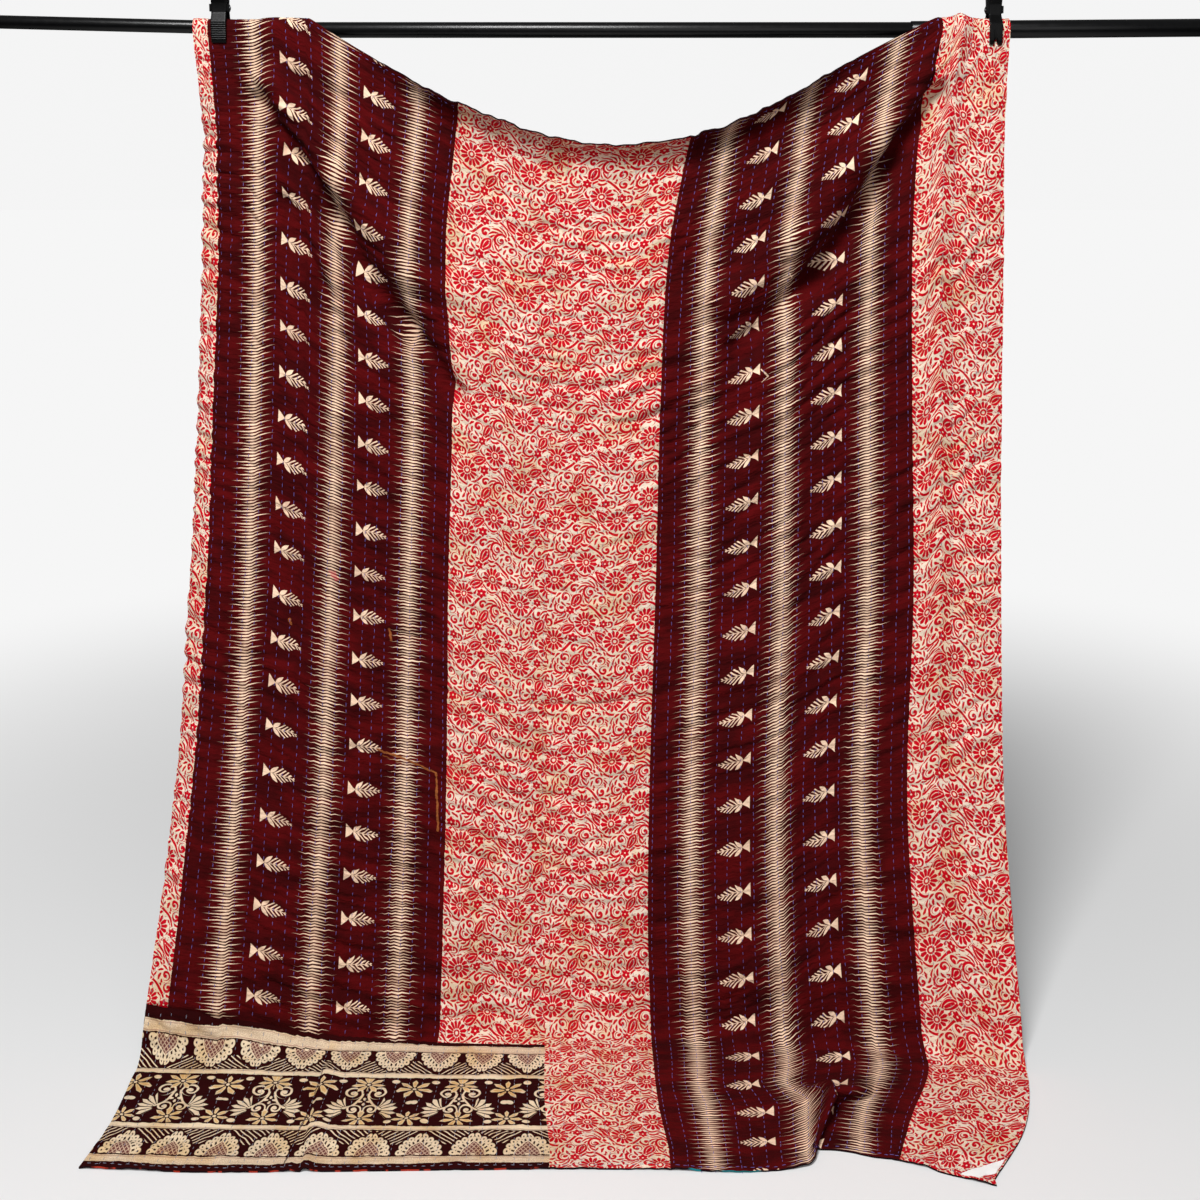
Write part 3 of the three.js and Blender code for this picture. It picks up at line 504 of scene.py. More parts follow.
class Pen:  # adds nodes to one tree
    def __init__(self, tree):
        self.tree = tree

    def add(self, kind, *values, **settings):
        node = self.tree.nodes.new(kind)
        for name, value in settings.items():
            setattr(node, name, value)
        for socket, value in zip(node.inputs, values):
            self.feed(socket, value)
        return node

    def feed(self, socket, value):
        if isinstance(value, Field):
            value = value.socket
        if isinstance(value, bpy.types.NodeSocket):
            self.tree.links.new(value, socket)
        elif value is not None:
            socket.default_value = value

    def group(self, tree, **values):
        node = self.add("ShaderNodeGroup", node_tree=tree)
        for name, value in values.items():
            self.feed(node.inputs[name], value)
        return node.outputs

    def math(self, operation, *values, clamp=False):
        node = self.add("ShaderNodeMath", *values, operation=operation, use_clamp=clamp)
        return Field(self, node.outputs[0])

    def vector(self, operation, *values):
        return self.add("ShaderNodeVectorMath", *values, operation=operation).outputs["Vector"]

    def scaled(self, vector, share):
        node = self.add("ShaderNodeVectorMath", vector, operation="SCALE")
        self.feed(node.inputs["Scale"], share)
        return node.outputs["Vector"]

    def stretched(self, vector, x, y):
        return self.vector("MULTIPLY", vector, (x, y, 0))

    def wobbled(self, vector, size, reach, detail=2.0):  # as uneven as a block laid on by hand
        swing = self.vector("SUBTRACT", self.noise(vector, size, detail).outputs["Color"], (0.5, 0.5, 0.5))
        return self.vector("MULTIPLY_ADD", swing, (reach, reach, 0), vector)

    def length(self, vector):
        return Field(self, self.add("ShaderNodeVectorMath", vector, operation="LENGTH").outputs["Value"])

    def split(self, vector):
        node = self.add("ShaderNodeSeparateXYZ", vector)
        return Field(self, node.outputs["X"]), Field(self, node.outputs["Y"])

    def join(self, x, y):
        return self.add("ShaderNodeCombineXYZ", x, y).outputs["Vector"]

    def noise(self, place, size, detail=2.0, flat=True):
        node = self.add("ShaderNodeTexNoise", place, noise_dimensions="2D" if flat else "3D")
        node.inputs["Scale"].default_value = 1 / size
        node.inputs["Detail"].default_value = detail
        return node

    def lumps(self, place, size, detail=2.0, flat=True):
        return Field(self, self.noise(place, size, detail, flat).outputs["Fac"])

    def low(self, *values):
        found = values[0]
        for value in values[1:]:
            found = self.math("MINIMUM", found, value)
        return found

    def high(self, *values):
        found = values[0]
        for value in values[1:]:
            found = self.math("MAXIMUM", found, value)
        return found

    def under(self, field, edge=0.0, soft=0.7):  # 1 where the field is under the edge
        return self.math("MULTIPLY_ADD", field, -1 / soft, edge / soft + 0.5, clamp=True)

    def over(self, field, edge=0.0, soft=0.7):
        return self.math("MULTIPLY_ADD", field, 1 / soft, 0.5 - edge / soft, clamp=True)

    def within(self, field, middle, half, soft=0.7):
        return self.under(abs(field - middle), half, soft)

    def wrapped(self, vector, at, tile):  # offset from a place that repeats on a tile
        half = (tile[0] / 2, tile[1] / 2, 0)
        offset = self.vector("SUBTRACT", vector, (at[0], at[1], 0))
        return self.vector("WRAP", offset, half, tuple(-h for h in half))

    def repeat(self, field, pitch, at=0.0):
        return self.math("WRAP", field - at if at else field, pitch / 2, -pitch / 2)

    def turned(self, vector, degrees):
        node = self.add("ShaderNodeVectorRotate", vector, rotation_type="Z_AXIS")
        node.inputs["Angle"].default_value = math.radians(-degrees)
        return node.outputs["Vector"]

    def mix(self, share, a, b, blend="MIX"):
        node = self.add("ShaderNodeMix", data_type="RGBA", blend_type=blend)
        self.feed(node.inputs["Factor"], share)
        self.feed(node.inputs[6], a)
        self.feed(node.inputs[7], b)
        return node.outputs[2]

    def nearest(self, vectors):  # the shortest of a few offsets
        best = vectors[0]
        for other in vectors[1:]:
            nearer = self.math("LESS_THAN", self.length(other), self.length(best))
            node = self.add("ShaderNodeMix", data_type="VECTOR")
            self.feed(node.inputs["Factor"], nearer)
            self.feed(node.inputs[4], best)
            self.feed(node.inputs[5], other)
            best = node.outputs[1]
        return best

    def polar(self, offset):  # distance from a motif's middle, turns round it, x and y
        x, y = self.split(offset)
        return self.length(offset), self.math("ARCTAN2", y, x) * (1 / (2 * math.pi)), x, y


def newGroup(name, inputs, outputs):
    tree = bpy.data.node_groups.new(name, "ShaderNodeTree")
    for label, kind in inputs.items():
        tree.interface.new_socket(label, in_out="INPUT", socket_type="NodeSocket" + kind)
    for label, kind in outputs.items():
        tree.interface.new_socket(label, in_out="OUTPUT", socket_type="NodeSocket" + kind)
    pen = Pen(tree)
    return tree, pen, pen.add("NodeGroupInput").outputs, pen.add("NodeGroupOutput").inputs


def tone(red, green, blue):  # a colour given as it shows on a screen
    return tuple(((c / 255 + 0.055) / 1.055) ** 2.4 for c in (red, green, blue)) + (1,)


def besideSpoke(pen, radius, turns, count):  # distance to the nearest of a ring of spokes
    return abs(pen.math("FRACT", turns * count) - 0.5) * radius * (2 * math.pi / count)


def petals(pen, radius, turns, count, start, length, narrow, broad, blunt):
    t = (radius - start) * (1 / length)
    half = pen.low(t * (broad - narrow) + narrow, (1 - t) * blunt, t * 14)
    return pen.over(half - besideSpoke(pen, radius, turns, count))


def scroll(pen, radius, turns, pitch, half):  # a spiral line
    return pen.under(abs(pen.math("FRACT", radius * (1 / pitch) - turns) - 0.5) * pitch, half)


floralTile = dict(  # mm from a daisy's middle, y down the cloth; leaves and curls also have a turn in degrees
    size=(104, 107), lineHalf=2.15, wobble=5.0, filler=(104 / 3, 107 / 4),
    daisies=[(0, 0), (53, -36)],
    wave=dict(pitch=53.5, at=5.5, sway=18.5),
    fronds=[(60, 18, 1), (11, -59, -1)],  # the last number turns a frond upside down
    curls=[(81, 32, 200), (86, 50, 20), (19, 29, 140), (-10, -31, 250)],
    florets=[(33, -7), (84, -32), (27, 51)],
    leaves=[(24, -22, -31), (79, -9, -133), (36, 34, 120)],
    petals=dict(  # count, start, length, narrow half, broad half, bluntness
        filler=(8, 12.8, 7.8, 2.0, 4.2, 9.0), frond=(10, 11.8, 11.0, 2.1, 4.7, 11.0),
        seeds=(6, 6.8, 6.0, 1.7, 3.3, 8.0), curl=(8, 9.0, 8.2, 1.9, 4.0, 9.0),
        floret=(6, 1.2, 7.6, 1.6, 3.8, 9.0), daisy=(13, 6.2, 13.6, 1.7, 3.5, 12.0),
    ),
    clear=dict(  # how far the cloth round a motif stays bare
        stem=3.6, tendril=3.4, frond=12.2, curl=9.6, leaf=3.0, floret=8.6, daisy=20.0),
)


def makeFloralPrint():
    tile, half = floralTile["size"], floralTile["lineHalf"]
    sets, clear = floralTile["petals"], floralTile["clear"]
    tree, pen, given, out = newGroup("floralPrint", {"Place": "Vector"}, {"Ink": "Float"})
    p = pen.wobbled(given["Place"], 34.0, floralTile["wobble"], 1.0)
    x, y = pen.split(p)

    def paint(ink, halo, mark):  # a motif with clear cloth round it
        return pen.high(pen.low(ink, 1 - halo), mark)

    def turnedTo(at):  # offset from a motif that has a turn of its own
        return pen.turned(pen.wrapped(p, at, tile), at[2])

    # Small curls between the motifs
    step = floralTile["filler"]
    row = pen.math("FLOOR", y * (1 / step[1]))
    shifted = x + pen.math("FRACT", row * 0.5) * step[0]
    spin = row * 0.25 + pen.math("FLOOR", shifted * (1 / step[0]) + 0.5) * 0.5
    r, turns, qx, qy = pen.polar(pen.join(pen.repeat(shifted, step[0]), pen.repeat(y, step[1], step[1] / 2)))
    ink = pen.low(scroll(pen, r, turns + spin, 9.4, half), pen.under(r, 11.8))
    ink = pen.high(ink, petals(pen, r, turns + spin, *sets["filler"]), pen.under(r, 2.6))

    # Winding stems and tendrils
    wave = floralTile["wave"]
    swung = x * (2 * math.pi / tile[0])
    slope = pen.math("SINE", swung)
    d = pen.repeat(y - pen.math("COSINE", swung) * wave["sway"], wave["pitch"], wave["at"])
    d = abs(d * (1 - slope * slope * 0.34))
    ink = paint(ink, pen.under(d, clear["stem"]), pen.under(d, half))
    swung = swung * 2 + 1.9
    d = abs(pen.repeat(y - pen.math("SINE", swung) * 9.0, wave["pitch"], wave["at"] + 27))
    ink = paint(ink, pen.under(d, clear["tendril"]), pen.under(d, half))

    # Fronds round a bent stalk, with seeds inside
    spots = [pen.stretched(pen.wrapped(p, at, tile), 1, at[2]) for at in floralTile["fronds"]]
    r, turns, qx, qy = pen.polar(pen.nearest(spots))
    leafSide = pen.under(qx * 0.86 + qy * 0.5 - r * 0.42, 0.0, 1.0)
    fan = petals(pen, r, turns + (r - 14) * 0.016, *sets["frond"])
    mark = pen.low(pen.high(pen.within(r, 10.2, half), fan), leafSide)
    seeds = petals(pen, r, turns - (r - 7) * 0.02, *sets["seeds"])
    mark = pen.high(mark, pen.low(scroll(pen, r, turns, 7.0, half), pen.under(r, 6.4)), pen.under(r, 1.9))
    mark = pen.high(mark, pen.low(seeds, 1 - leafSide))
    ink = paint(ink, pen.under(r - leafSide * 9.6, clear["frond"]), mark)

    # Curls with petals in front
    r, turns, qx, qy = pen.polar(pen.nearest([turnedTo(at) for at in floralTile["curls"]]))
    front = pen.over(qx + r * 0.25, 0.0, 1.0)
    mark = pen.low(scroll(pen, r, turns, 7.6, half), pen.under(r, 8.0))
    fan = pen.low(petals(pen, r, turns + r * 0.012, *sets["curl"]), front)
    ink = paint(ink, pen.under(r - front * 8.0, clear["curl"]), pen.high(mark, fan, pen.under(r, 1.9)))

    # Leaves with a vein
    for at in floralTile["leaves"]:
        qx, qy = pen.split(turnedTo(at))
        t = pen.math("MULTIPLY_ADD", qx, 1 / 29, 0.5, clamp=True)
        broad = t * (1 - t) * (35 - t * 24)
        edge = abs(qy) - broad
        vein = pen.low(pen.over(broad * 0.5 - abs(qy), 0.2), pen.under(abs(t - 0.44), 0.3, 0.04))
        mark = pen.low(pen.high(pen.under(abs(edge), half), vein), pen.under(abs(qx), 15.2))
        ink = paint(ink, pen.low(pen.under(edge, clear["leaf"]), pen.under(abs(qx), 16.4)), mark)

    # Florets, and daisies over all
    r, turns, qx, qy = pen.polar(pen.nearest([pen.wrapped(p, at, tile) for at in floralTile["florets"]]))
    ink = paint(ink, pen.under(r, clear["floret"]), petals(pen, r, turns, *sets["floret"]))
    r, turns, qx, qy = pen.polar(pen.nearest([pen.wrapped(p, at, tile) for at in floralTile["daisies"]]))
    mark = petals(pen, r, turns, *sets["daisy"])
    eye = pen.within(r, 4.2, 1.5)
    pen.feed(out["Ink"], paint(ink, pen.under(r, clear["daisy"]), pen.high(mark, eye)))
    return tree


stripePrint = dict(  # mm from the panel's left edge; each column of sprigs has its own pitch and start
    left=dict(stripes=[75.5, 221.5, 358.5], sprigs=[(148.5, 1.044, -26.5), (290.5, 1.024, 9)], facing=1),
    right=dict(stripes=[70.5, 210.5, 355.5], sprigs=[(140, 0.992, 48), (282.5, 0.97, 37.5)], facing=-1),
    half=29.5, pitch=4.95, sprigPitch=73, sprigLength=57,
)


def makeStripePrint(name, stripes, sprigs, facing):
    tree, pen, given, out = newGroup(name, {"Place": "Vector"}, {"Ink": "Float"})
    pitch = stripePrint["pitch"]
    drift = pen.lumps(given["Place"], 70.0)
    x, y = pen.split(given["Place"])

    def fromNearest(middles):  # offset from the nearest upright line, and which of the last two it is
        d, closer = x - middles[0], None
        for middle in middles[1:]:
            other = x - middle
            closer = pen.math("LESS_THAN", abs(other), abs(d))
            d = d + (other - d) * closer
        return d, closer

    # Threads that run out to points on both sides of a stripe
    d, closer = fromNearest(stripes)
    t = abs(d) * (1 / stripePrint["half"])
    level = (y + d * 0.05 + drift * 4) * (1 / pitch)
    rank = pen.math("FLOOR", level)
    odd = pen.math("FRACT", rank * 0.5) * 2  # every other thread reaches farther
    rank = rank * 1.31 + pen.math("SIGN", d) * 0.37
    chances = pen.add("ShaderNodeTexWhiteNoise", None, rank, noise_dimensions="1D")
    chance = Field(pen, chances.outputs["Value"])
    reach = odd * 0.44 + chance * 0.24 + 0.46
    f = abs(pen.math("FRACT", level) - 0.5) * pitch
    thick = (1 - pen.math("DIVIDE", t, reach)) * (pitch * 0.315)
    spikes = pen.over(thick - f, 0.0, 0.6)

    # Sprigs: a tail, two lobes and blades on a spine
    d, closer = fromNearest([column[0] for column in sprigs])
    length = stripePrint["sprigLength"]
    lx = d * facing + length / 2
    share, drop = [closer * (second - first) + first for first, second in zip(sprigs[0][1:], sprigs[1][1:])]
    ay = abs(pen.repeat((y + drop) * share + (drift - 0.5) * 10, stripePrint["sprigPitch"]))
    tail = pen.low(pen.under(ay - (1 - lx * (1 / 13.0)) * 11.0, 0.3), pen.over(lx, 0.6))
    dx = lx - 12.5
    s = pen.math("MULTIPLY_ADD", dx * 0.72 + ay * 0.69, 1 / 19, 0.0, clamp=True)
    lobes = pen.over(s * (1 - s) * (17 - s * 7) - abs(ay * 0.72 - dx * 0.69), 0.4)
    rib = lx - ay * 1.25
    blades = pen.low(pen.under(abs(pen.repeat(rib, 7.8, 19.6)), 1.6), pen.over(rib, 15.8))
    room = pen.low(pen.under(ay - (length - lx) * 0.5, 0.0, 1.0), pen.under(ay, 15.0), pen.over(ay, 0.5))
    spine = pen.low(pen.under(ay, 0.5), pen.within(lx, 33, 19))
    sprig = pen.high(tail, lobes, pen.low(blades, room), spine)
    pen.feed(out["Ink"], pen.high(spikes, sprig))
    return tree


borderPrint = dict(  # mm from the middle of the border, y down; a spray's places are from its own middle
    middle=161.5, rowHalf=60, lineEnd=73.5, lineHalf=5.3, base=132, wobble=5.0,
    lowBand=142, lowBandHalf=7.8, topBand=143, topBandHalf=9.6,
    medallion=73, medallionAt=43, squat=0.68, beads=20, beadRing=28.0, hatchPitch=8.8,
    spray=147, sprayAt=84, frond=(23, 23), floret=(0, 1),
    curls=[(20, -20, 10.0, 1.8, 15.8, 4.0), (13.5, 21, 8.0, 1.6, 12.4, 3.0)],  # x, y, pitch, half, reach, eye
    stem=dict(centre=(54, -21.7), radius=49.5, half=1.8, rows=(22.5, 21), side=-24),
    blooms=[(0, -43, 19, 8), (0, 44, 18, 7), (73.5, -32, 21, 7), (73.5, 43, 16, 7)],  # x, y, size, petals
    dots=[(42, -51, 4.5), (70, 3, 4.2), (50, -26, 2.6), (46, 51, 4.2)],  # x, y, radius
    petals=dict(medallion=(22, 18.0, 6.6, 1.2, 2.5, 8.0), frond=(16, 7.0, 26.0, 1.0, 4.6, 14.0),
                floret=(4, 2.6, 8.0, 1.0, 3.4, 8.0)),
)


def makeBorderPrint():
    rows, sets = borderPrint, borderPrint["petals"]
    tree, pen, given, out = newGroup("borderPrint", {"Place": "Vector"},
                                     {"Ink": "Float", "Ochre": "Float", "Fine": "Float"})
    p = pen.wobbled(given["Place"], 45.0, rows["wobble"])
    x, y = pen.split(p)
    v = y - rows["middle"]
    m = abs(v)  # the lower rows mirror the upper ones
    frayed = (pen.lumps(p, 6.0) - 0.5) * 2.4
    line = pen.within(m + frayed, (rows["rowHalf"] + rows["lineEnd"]) / 2, rows["lineHalf"])
    band = pen.high(pen.within(v + frayed, rows["lowBand"], rows["lowBandHalf"]),
                    pen.within(v + frayed, -rows["topBand"], rows["topBandHalf"]))
    threads = pen.high(pen.within(v, rows["lowBand"] - 5.4, 0.8), pen.within(v, 7.6 - rows["topBand"], 0.8),
                       pen.within(v, -7.2 - rows["topBand"], 0.6), pen.within(m, rows["lineEnd"] - 3.4, 0.6))

    # Rows of medallions that end in a point, with slanting lines between them
    mx = pen.repeat(x, rows["medallion"], rows["medallionAt"])
    my = rows["base"] - m
    inRow = pen.within(m, (rows["base"] + rows["lineEnd"]) / 2, (rows["base"] - rows["lineEnd"]) / 2 - 0.5)
    r, turns, qx, qy = pen.polar(pen.join(mx, my * rows["squat"]))
    reach = r - pen.under(abs(qx) - r * 0.1, 2.0, 9.0) * 5.0
    bead = pen.length(pen.join(besideSpoke(pen, r, turns, rows["beads"]), reach - rows["beadRing"]))
    beads = pen.low(pen.under(bead, 4.5), pen.over(bead, 1.2))
    net = pen.high(*(pen.under(abs(pen.repeat(way, 6.4)), 0.9) for way in (qx + qy, qx - qy)))
    heart = pen.high(pen.low(pen.under(reach, 17.0), net), pen.under(r, 3.4), pen.within(reach, 17.4, 1.0))
    leafy = pen.low(petals(pen, reach, turns, *sets["medallion"]), pen.under(reach, 27.0))
    medallion = pen.high(heart, beads, leafy, pen.within(reach, 23.6, 0.8))
    pair = pen.repeat(x, rows["medallion"] * 2, rows["medallionAt"] + rows["medallion"])
    hatch = pen.under(abs(pen.repeat(my - abs(pair) * 0.9, rows["hatchPitch"])), 1.2)
    hatch = pen.low(hatch, pen.over(reach, 35.0), pen.over(my, 26.0))
    ink = pen.high(line, band, pen.low(inRow, pen.high(medallion, hatch)))
    fine = pen.low(inRow, pen.under(reach, 16.6), pen.over(r, 3.6))
    speckled = pen.over(pen.lumps(p, 1.6, 1.0), 0.5, 0.2) * band * 0.55
    pen.feed(out["Fine"], pen.high(fine * 0.75, speckled, pen.low(threads, pen.high(line, band))))

    # Middle row: sprays of curls and fronds, with flowers and dots
    px = abs(pen.repeat(x, rows["spray"], rows["sprayAt"]))
    inner = pen.under(m, rows["rowHalf"] - 1.5)

    def away(at, squash=1.0):
        offset = pen.vector("SUBTRACT", pen.join(px, v), (at[0], at[1], 0))
        return pen.stretched(offset, squash, 1)

    stem = rows["stem"]
    r, turns, qx, qy = pen.polar(away(stem["centre"]))
    marks = pen.low(pen.within(r, stem["radius"], stem["half"]), pen.within(qy, *stem["rows"]),
                    pen.under(qx, stem["side"]))
    for curl in rows["curls"]:
        pitch, half, reach, eye = curl[2:]
        r, turns, qx, qy = pen.polar(away(curl))
        spiral = pen.low(scroll(pen, r, 1.5 - turns, pitch, half), pen.under(r, reach))
        marks = pen.high(marks, spiral, pen.under(r, eye))
    r, turns, qx, qy = pen.polar(away(rows["frond"]))
    fan = petals(pen, r, turns, *sets["frond"])
    marks = pen.high(marks, pen.low(fan, pen.over(qx * 0.966 - qy * 0.259 - r * 0.45)))
    r, turns, qx, qy = pen.polar(away(rows["floret"]))
    marks = pen.high(marks, petals(pen, r, turns + 0.125, *sets["floret"]))
    ochre = None
    for bloom in rows["blooms"]:
        size, count = bloom[2:]
        r, turns, qx, qy = pen.polar(away(bloom, 0.85))
        whole = petals(pen, r, turns + 0.03, count, 3.8, size, 1.4, size * 0.26, size * 0.6)
        warm = petals(pen, r, turns + 0.03, count, 5.2, size * 0.72, 0.4, size * 0.16, size * 0.42)
        marks = pen.high(pen.low(marks, pen.over(r, size * 0.86)), whole, pen.under(r, 2.4))
        warm = pen.low(whole, warm + 0.3)
        ochre = pen.high(ochre, warm) if ochre else warm
    for dot in rows["dots"]:
        marks = pen.high(marks, pen.under(pen.length(away(dot, 0.7)), dot[2]))
    pen.feed(out["Ink"], pen.high(ink, pen.low(marks, inner)))
    pen.feed(out["Ochre"], pen.low(ochre, inner))
    return tree


def makeClothWearAndShade():  # slubs, washed-out areas, stains and puckers, with painted shade in the troughs and painted light on the crests of the puckers and creases
    tree, pen, given, out = newGroup("clothWearAndShade", {"Place": "Vector", "Colour": "Color", "Stain": "Color"},
                                     {"Colour": "Color", "Height": "Float"})
    p = given["Place"]
    slubs = pen.lumps(pen.stretched(p, 1, 0.05), 1.4) + pen.lumps(pen.stretched(p, 0.05, 1), 1.4)
    washed = pen.lumps(p, 130.0, 3.0)
    puckers = pen.lumps(pen.stretched(p, 0.45, 1), 5.0, 2.0)
    creased = pen.lumps(pen.stretched(p, 0.14, 1), 9.0, 2.0)
    # the pucker and crease lumps, which also raise the bump, darken and lighten the colour: painted shade and
    # light on the wrinkles; slubs and washed areas are the cloth's own
    fadeAndWrinkleShade = slubs * 0.16 + washed * 0.2 + puckers * 0.2 + creased * 0.3 + 0.5
    blot = pen.over(pen.lumps(p, 62.0, 3.0), 0.6, 0.22) * 0.55
    shaded = pen.scaled(given["Colour"], fadeAndWrinkleShade)
    pen.feed(out["Colour"], pen.mix(blot, shaded, given["Stain"], "MULTIPLY"))
    pen.feed(out["Height"], puckers + creased * 1.6 + slubs * 0.12)
    return tree


floralInk = makeFloralPrint()
leftStripeInk = makeStripePrint("leftStripePrint", **stripePrint["left"])
rightStripeInk = makeStripePrint("rightStripePrint", **stripePrint["right"])
borderInk = makeBorderPrint()
clothWearAndShade = makeClothWearAndShade()

dyes = dict(
    cream=tone(228, 210, 190), red=tone(188, 1, 26), tan=tone(212, 192, 160),
    maroon=tone(58, 1, 4), wornAndCreaseLitMaroon=tone(79, 4, 7), stripe=tone(240, 207, 178),
    borderGroundAndCreaseShade=tone(42, 1, 3), borderCream=tone(224, 203, 172), ochre=tone(212, 176, 120),
    fineLineAndCreaseShade=tone(140, 84, 78), teal=tone(38, 112, 120), deepTeal=tone(30, 92, 108),
    turnedHem=tone(40, 12, 18), hemDark=tone(26, 9, 14), hemRust=tone(170, 52, 34),
    hemTeal=tone(24, 118, 126), rust=tone(150, 86, 44), pink=tone(205, 60, 78),
    stain=tone(236, 214, 168), maroonStain=tone(205, 190, 186), tealStain=tone(190, 205, 205),
)


stainsAndCreaseShade = dict(  # flat places of stains and of painted crease shade: from, to, half width, colour, strength
    left=[((350, 1133), (384, 1138), 1.6, "rust", 0.9), ((384, 1138), (452, 1155), 1.5, "rust", 0.95),
          ((452, 1155), (457, 1251), 1.7, "rust", 0.9), ((360, 1140), (392, 1150), 1.0, "rust", 0.6),
          ((192, 969), (194, 973), 2.6, "rust", 0.8), ((366, 928), (369, 946), 2.2, "rust", 0.8),
          ((262, 862), (270, 867), 4.5, "pink", 0.45)],
    right=[((1010, 470), (1022, 486), 0.9, "stripe", 0.9), ((1022, 486), (1012, 492), 0.8, "stripe", 0.8),
           ((1052, 322), (1061, 336), 0.8, "stripe", 0.8)],
    # painted shade along the crease where the border lies on the floor, in the border's ground colour
    border=[((300, 1690), (297, 1780), 1.2, "borderGroundAndCreaseShade", 0.7),
            ((297, 1780), (294, 1925), 1.3, "borderGroundAndCreaseShade", 0.8)],
    strip=[((1309, 357), (1313, 364), 2.2, "maroon", 0.7)],
    centreLeft=[((471, 1011), (577, 1011), 0.9, "fineLineAndCreaseShade", 0.6),  # painted shade along an old fold line
                ((577, 1011), (657, 1006), 0.9, "fineLineAndCreaseShade", 0.7)],
    centreRight=[((656, 1006), (714, 998), 0.9, "fineLineAndCreaseShade", 0.7),
                 ((714, 998), (841, 994), 0.9, "fineLineAndCreaseShade", 0.6)],
)


# stains, and dark lines of painted shade along creases
def drawStainsAndCreaseShade(pen, cloth, colour, places):
    wander = pen.lumps(cloth, 7.0, 3.0)
    for start, end, half, dye, strength in places:
        step = np.subtract(end, start)
        offset = pen.vector("SUBTRACT", cloth, (*start, 0))
        along = (*(step / step.dot(step)), 0)
        share = pen.add("ShaderNodeVectorMath", offset, along, operation="DOT_PRODUCT").outputs["Value"]
        share = pen.math("MAXIMUM", pen.math("MINIMUM", share, 1.0), 0.0)
        away = pen.length(pen.vector("SUBTRACT", offset, pen.scaled((*step, 0), share)))
        colour = pen.mix(pen.under(away - (wander - 0.5) * 2 * half, half) * strength, colour, dyes[dye])
    return colour


def startMaterial(name):
    material = bpy.data.materials.new(name)
    material.use_nodes = True
    return material, Pen(material.node_tree), material.node_tree.nodes["Principled BSDF"]


def addBump(pen, shader, height, strength, distance):
    raised = pen.add("ShaderNodeBump")
    raised.inputs["Strength"].default_value = strength
    raised.inputs["Distance"].default_value = distance
    pen.feed(raised.inputs["Height"], height)
    pen.feed(shader.inputs["Normal"], raised.outputs["Normal"])


def clothMaterial(name, drawPrint, origin=(0, 0), stain="stain", bump=0.55, places=(), layer="print"):
    material, pen, shader = startMaterial(name)
    flat = pen.add("ShaderNodeUVMap", uv_map=layer).outputs["UV"]
    cloth = pen.stretched(flat, 1000, 1000)
    at = pen.vector("SUBTRACT", cloth, (*origin, 0))
    colour = drawStainsAndCreaseShade(pen, cloth, drawPrint(pen, at), places)
    # the cloth's wear, with painted shade and light on its wrinkles
    wornAndShaded = pen.group(clothWearAndShade, Place=cloth, Colour=colour, Stain=dyes[stain])
    addBump(pen, shader, wornAndShaded["Height"], bump, 0.002)
    pen.feed(shader.inputs["Base Color"], wornAndShaded["Colour"])
    shader.inputs["Roughness"].default_value = 0.95
    shader.inputs["Specular IOR Level"].default_value = 0.08
    return material


def floralColours(pen, p):
    ink = Field(pen, pen.group(floralInk, Place=p)["Ink"])
    faded = pen.math("MULTIPLY_ADD", pen.lumps(p, 9.0), 0.2, 0.92, clamp=True)
    ground = pen.mix(pen.over(pen.lumps(p, 60.0, 3.0), 0.58, 0.3) * 0.6, dyes["cream"], dyes["tan"])
    return pen.mix(ink * faded, ground, dyes["red"])


def stripeColours(inkTree):
    def draw(pen, p):
        drawn = pen.group(inkTree, Place=p)
        # lighter maroon in long crosswise lumps: wear, and painted light and shade standing in for fine
        # creases
        wornAndShaded = pen.over(pen.lumps(pen.stretched(p, 0.3, 1), 30.0, 3.0), 0.5, 0.22)
        return pen.mix(drawn["Ink"], pen.mix(wornAndShaded, dyes["maroon"], dyes["wornAndCreaseLitMaroon"]), dyes["stripe"])
    return draw


def borderColours(pen, p):
    drawn = pen.group(borderInk, Place=p)
    colour = pen.mix(drawn["Ink"], dyes["borderGroundAndCreaseShade"], dyes["borderCream"])
    colour = pen.mix(Field(pen, drawn["Fine"]) * 0.65, colour, dyes["fineLineAndCreaseShade"])
    return pen.mix(drawn["Ochre"], colour, dyes["ochre"])


turnedHem = 24  # width of the front cloth that shows on the back


def backColours(pen, p):  # plain cotton, with the front cloth turned over it along the hems
    x, y = pen.split(p)
    plain = pen.mix(pen.lumps(p, 240.0, 3.0), dyes["teal"], dyes["deepTeal"])
    middles = [(x, quilt["width"] / 2), (y, quilt["length"] / 2)]
    inside = pen.low(*(pen.within(way, middle, middle - turnedHem) for way, middle in middles))
    return pen.mix(inside, dyes["turnedHem"], plain)


def edgeColours(pen, p):  # the turned hem, where the back cloth shows in places
    x, y = pen.split(p)
    shows = pen.low(pen.within(x, 925, 55, 6.0), pen.over(pen.lumps(p, 30.0, 1.0), 0.42, 0.06))
    rust = pen.low(pen.under(x, 640, 8.0), pen.over(pen.lumps(p, 22.0, 2.0), 0.6, 0.05))
    foot = pen.over(y, 1800)
    colour = pen.mix(pen.low(rust, foot), dyes["hemDark"], dyes["hemRust"])
    return pen.mix(pen.low(shows, foot), colour, dyes["hemTeal"])


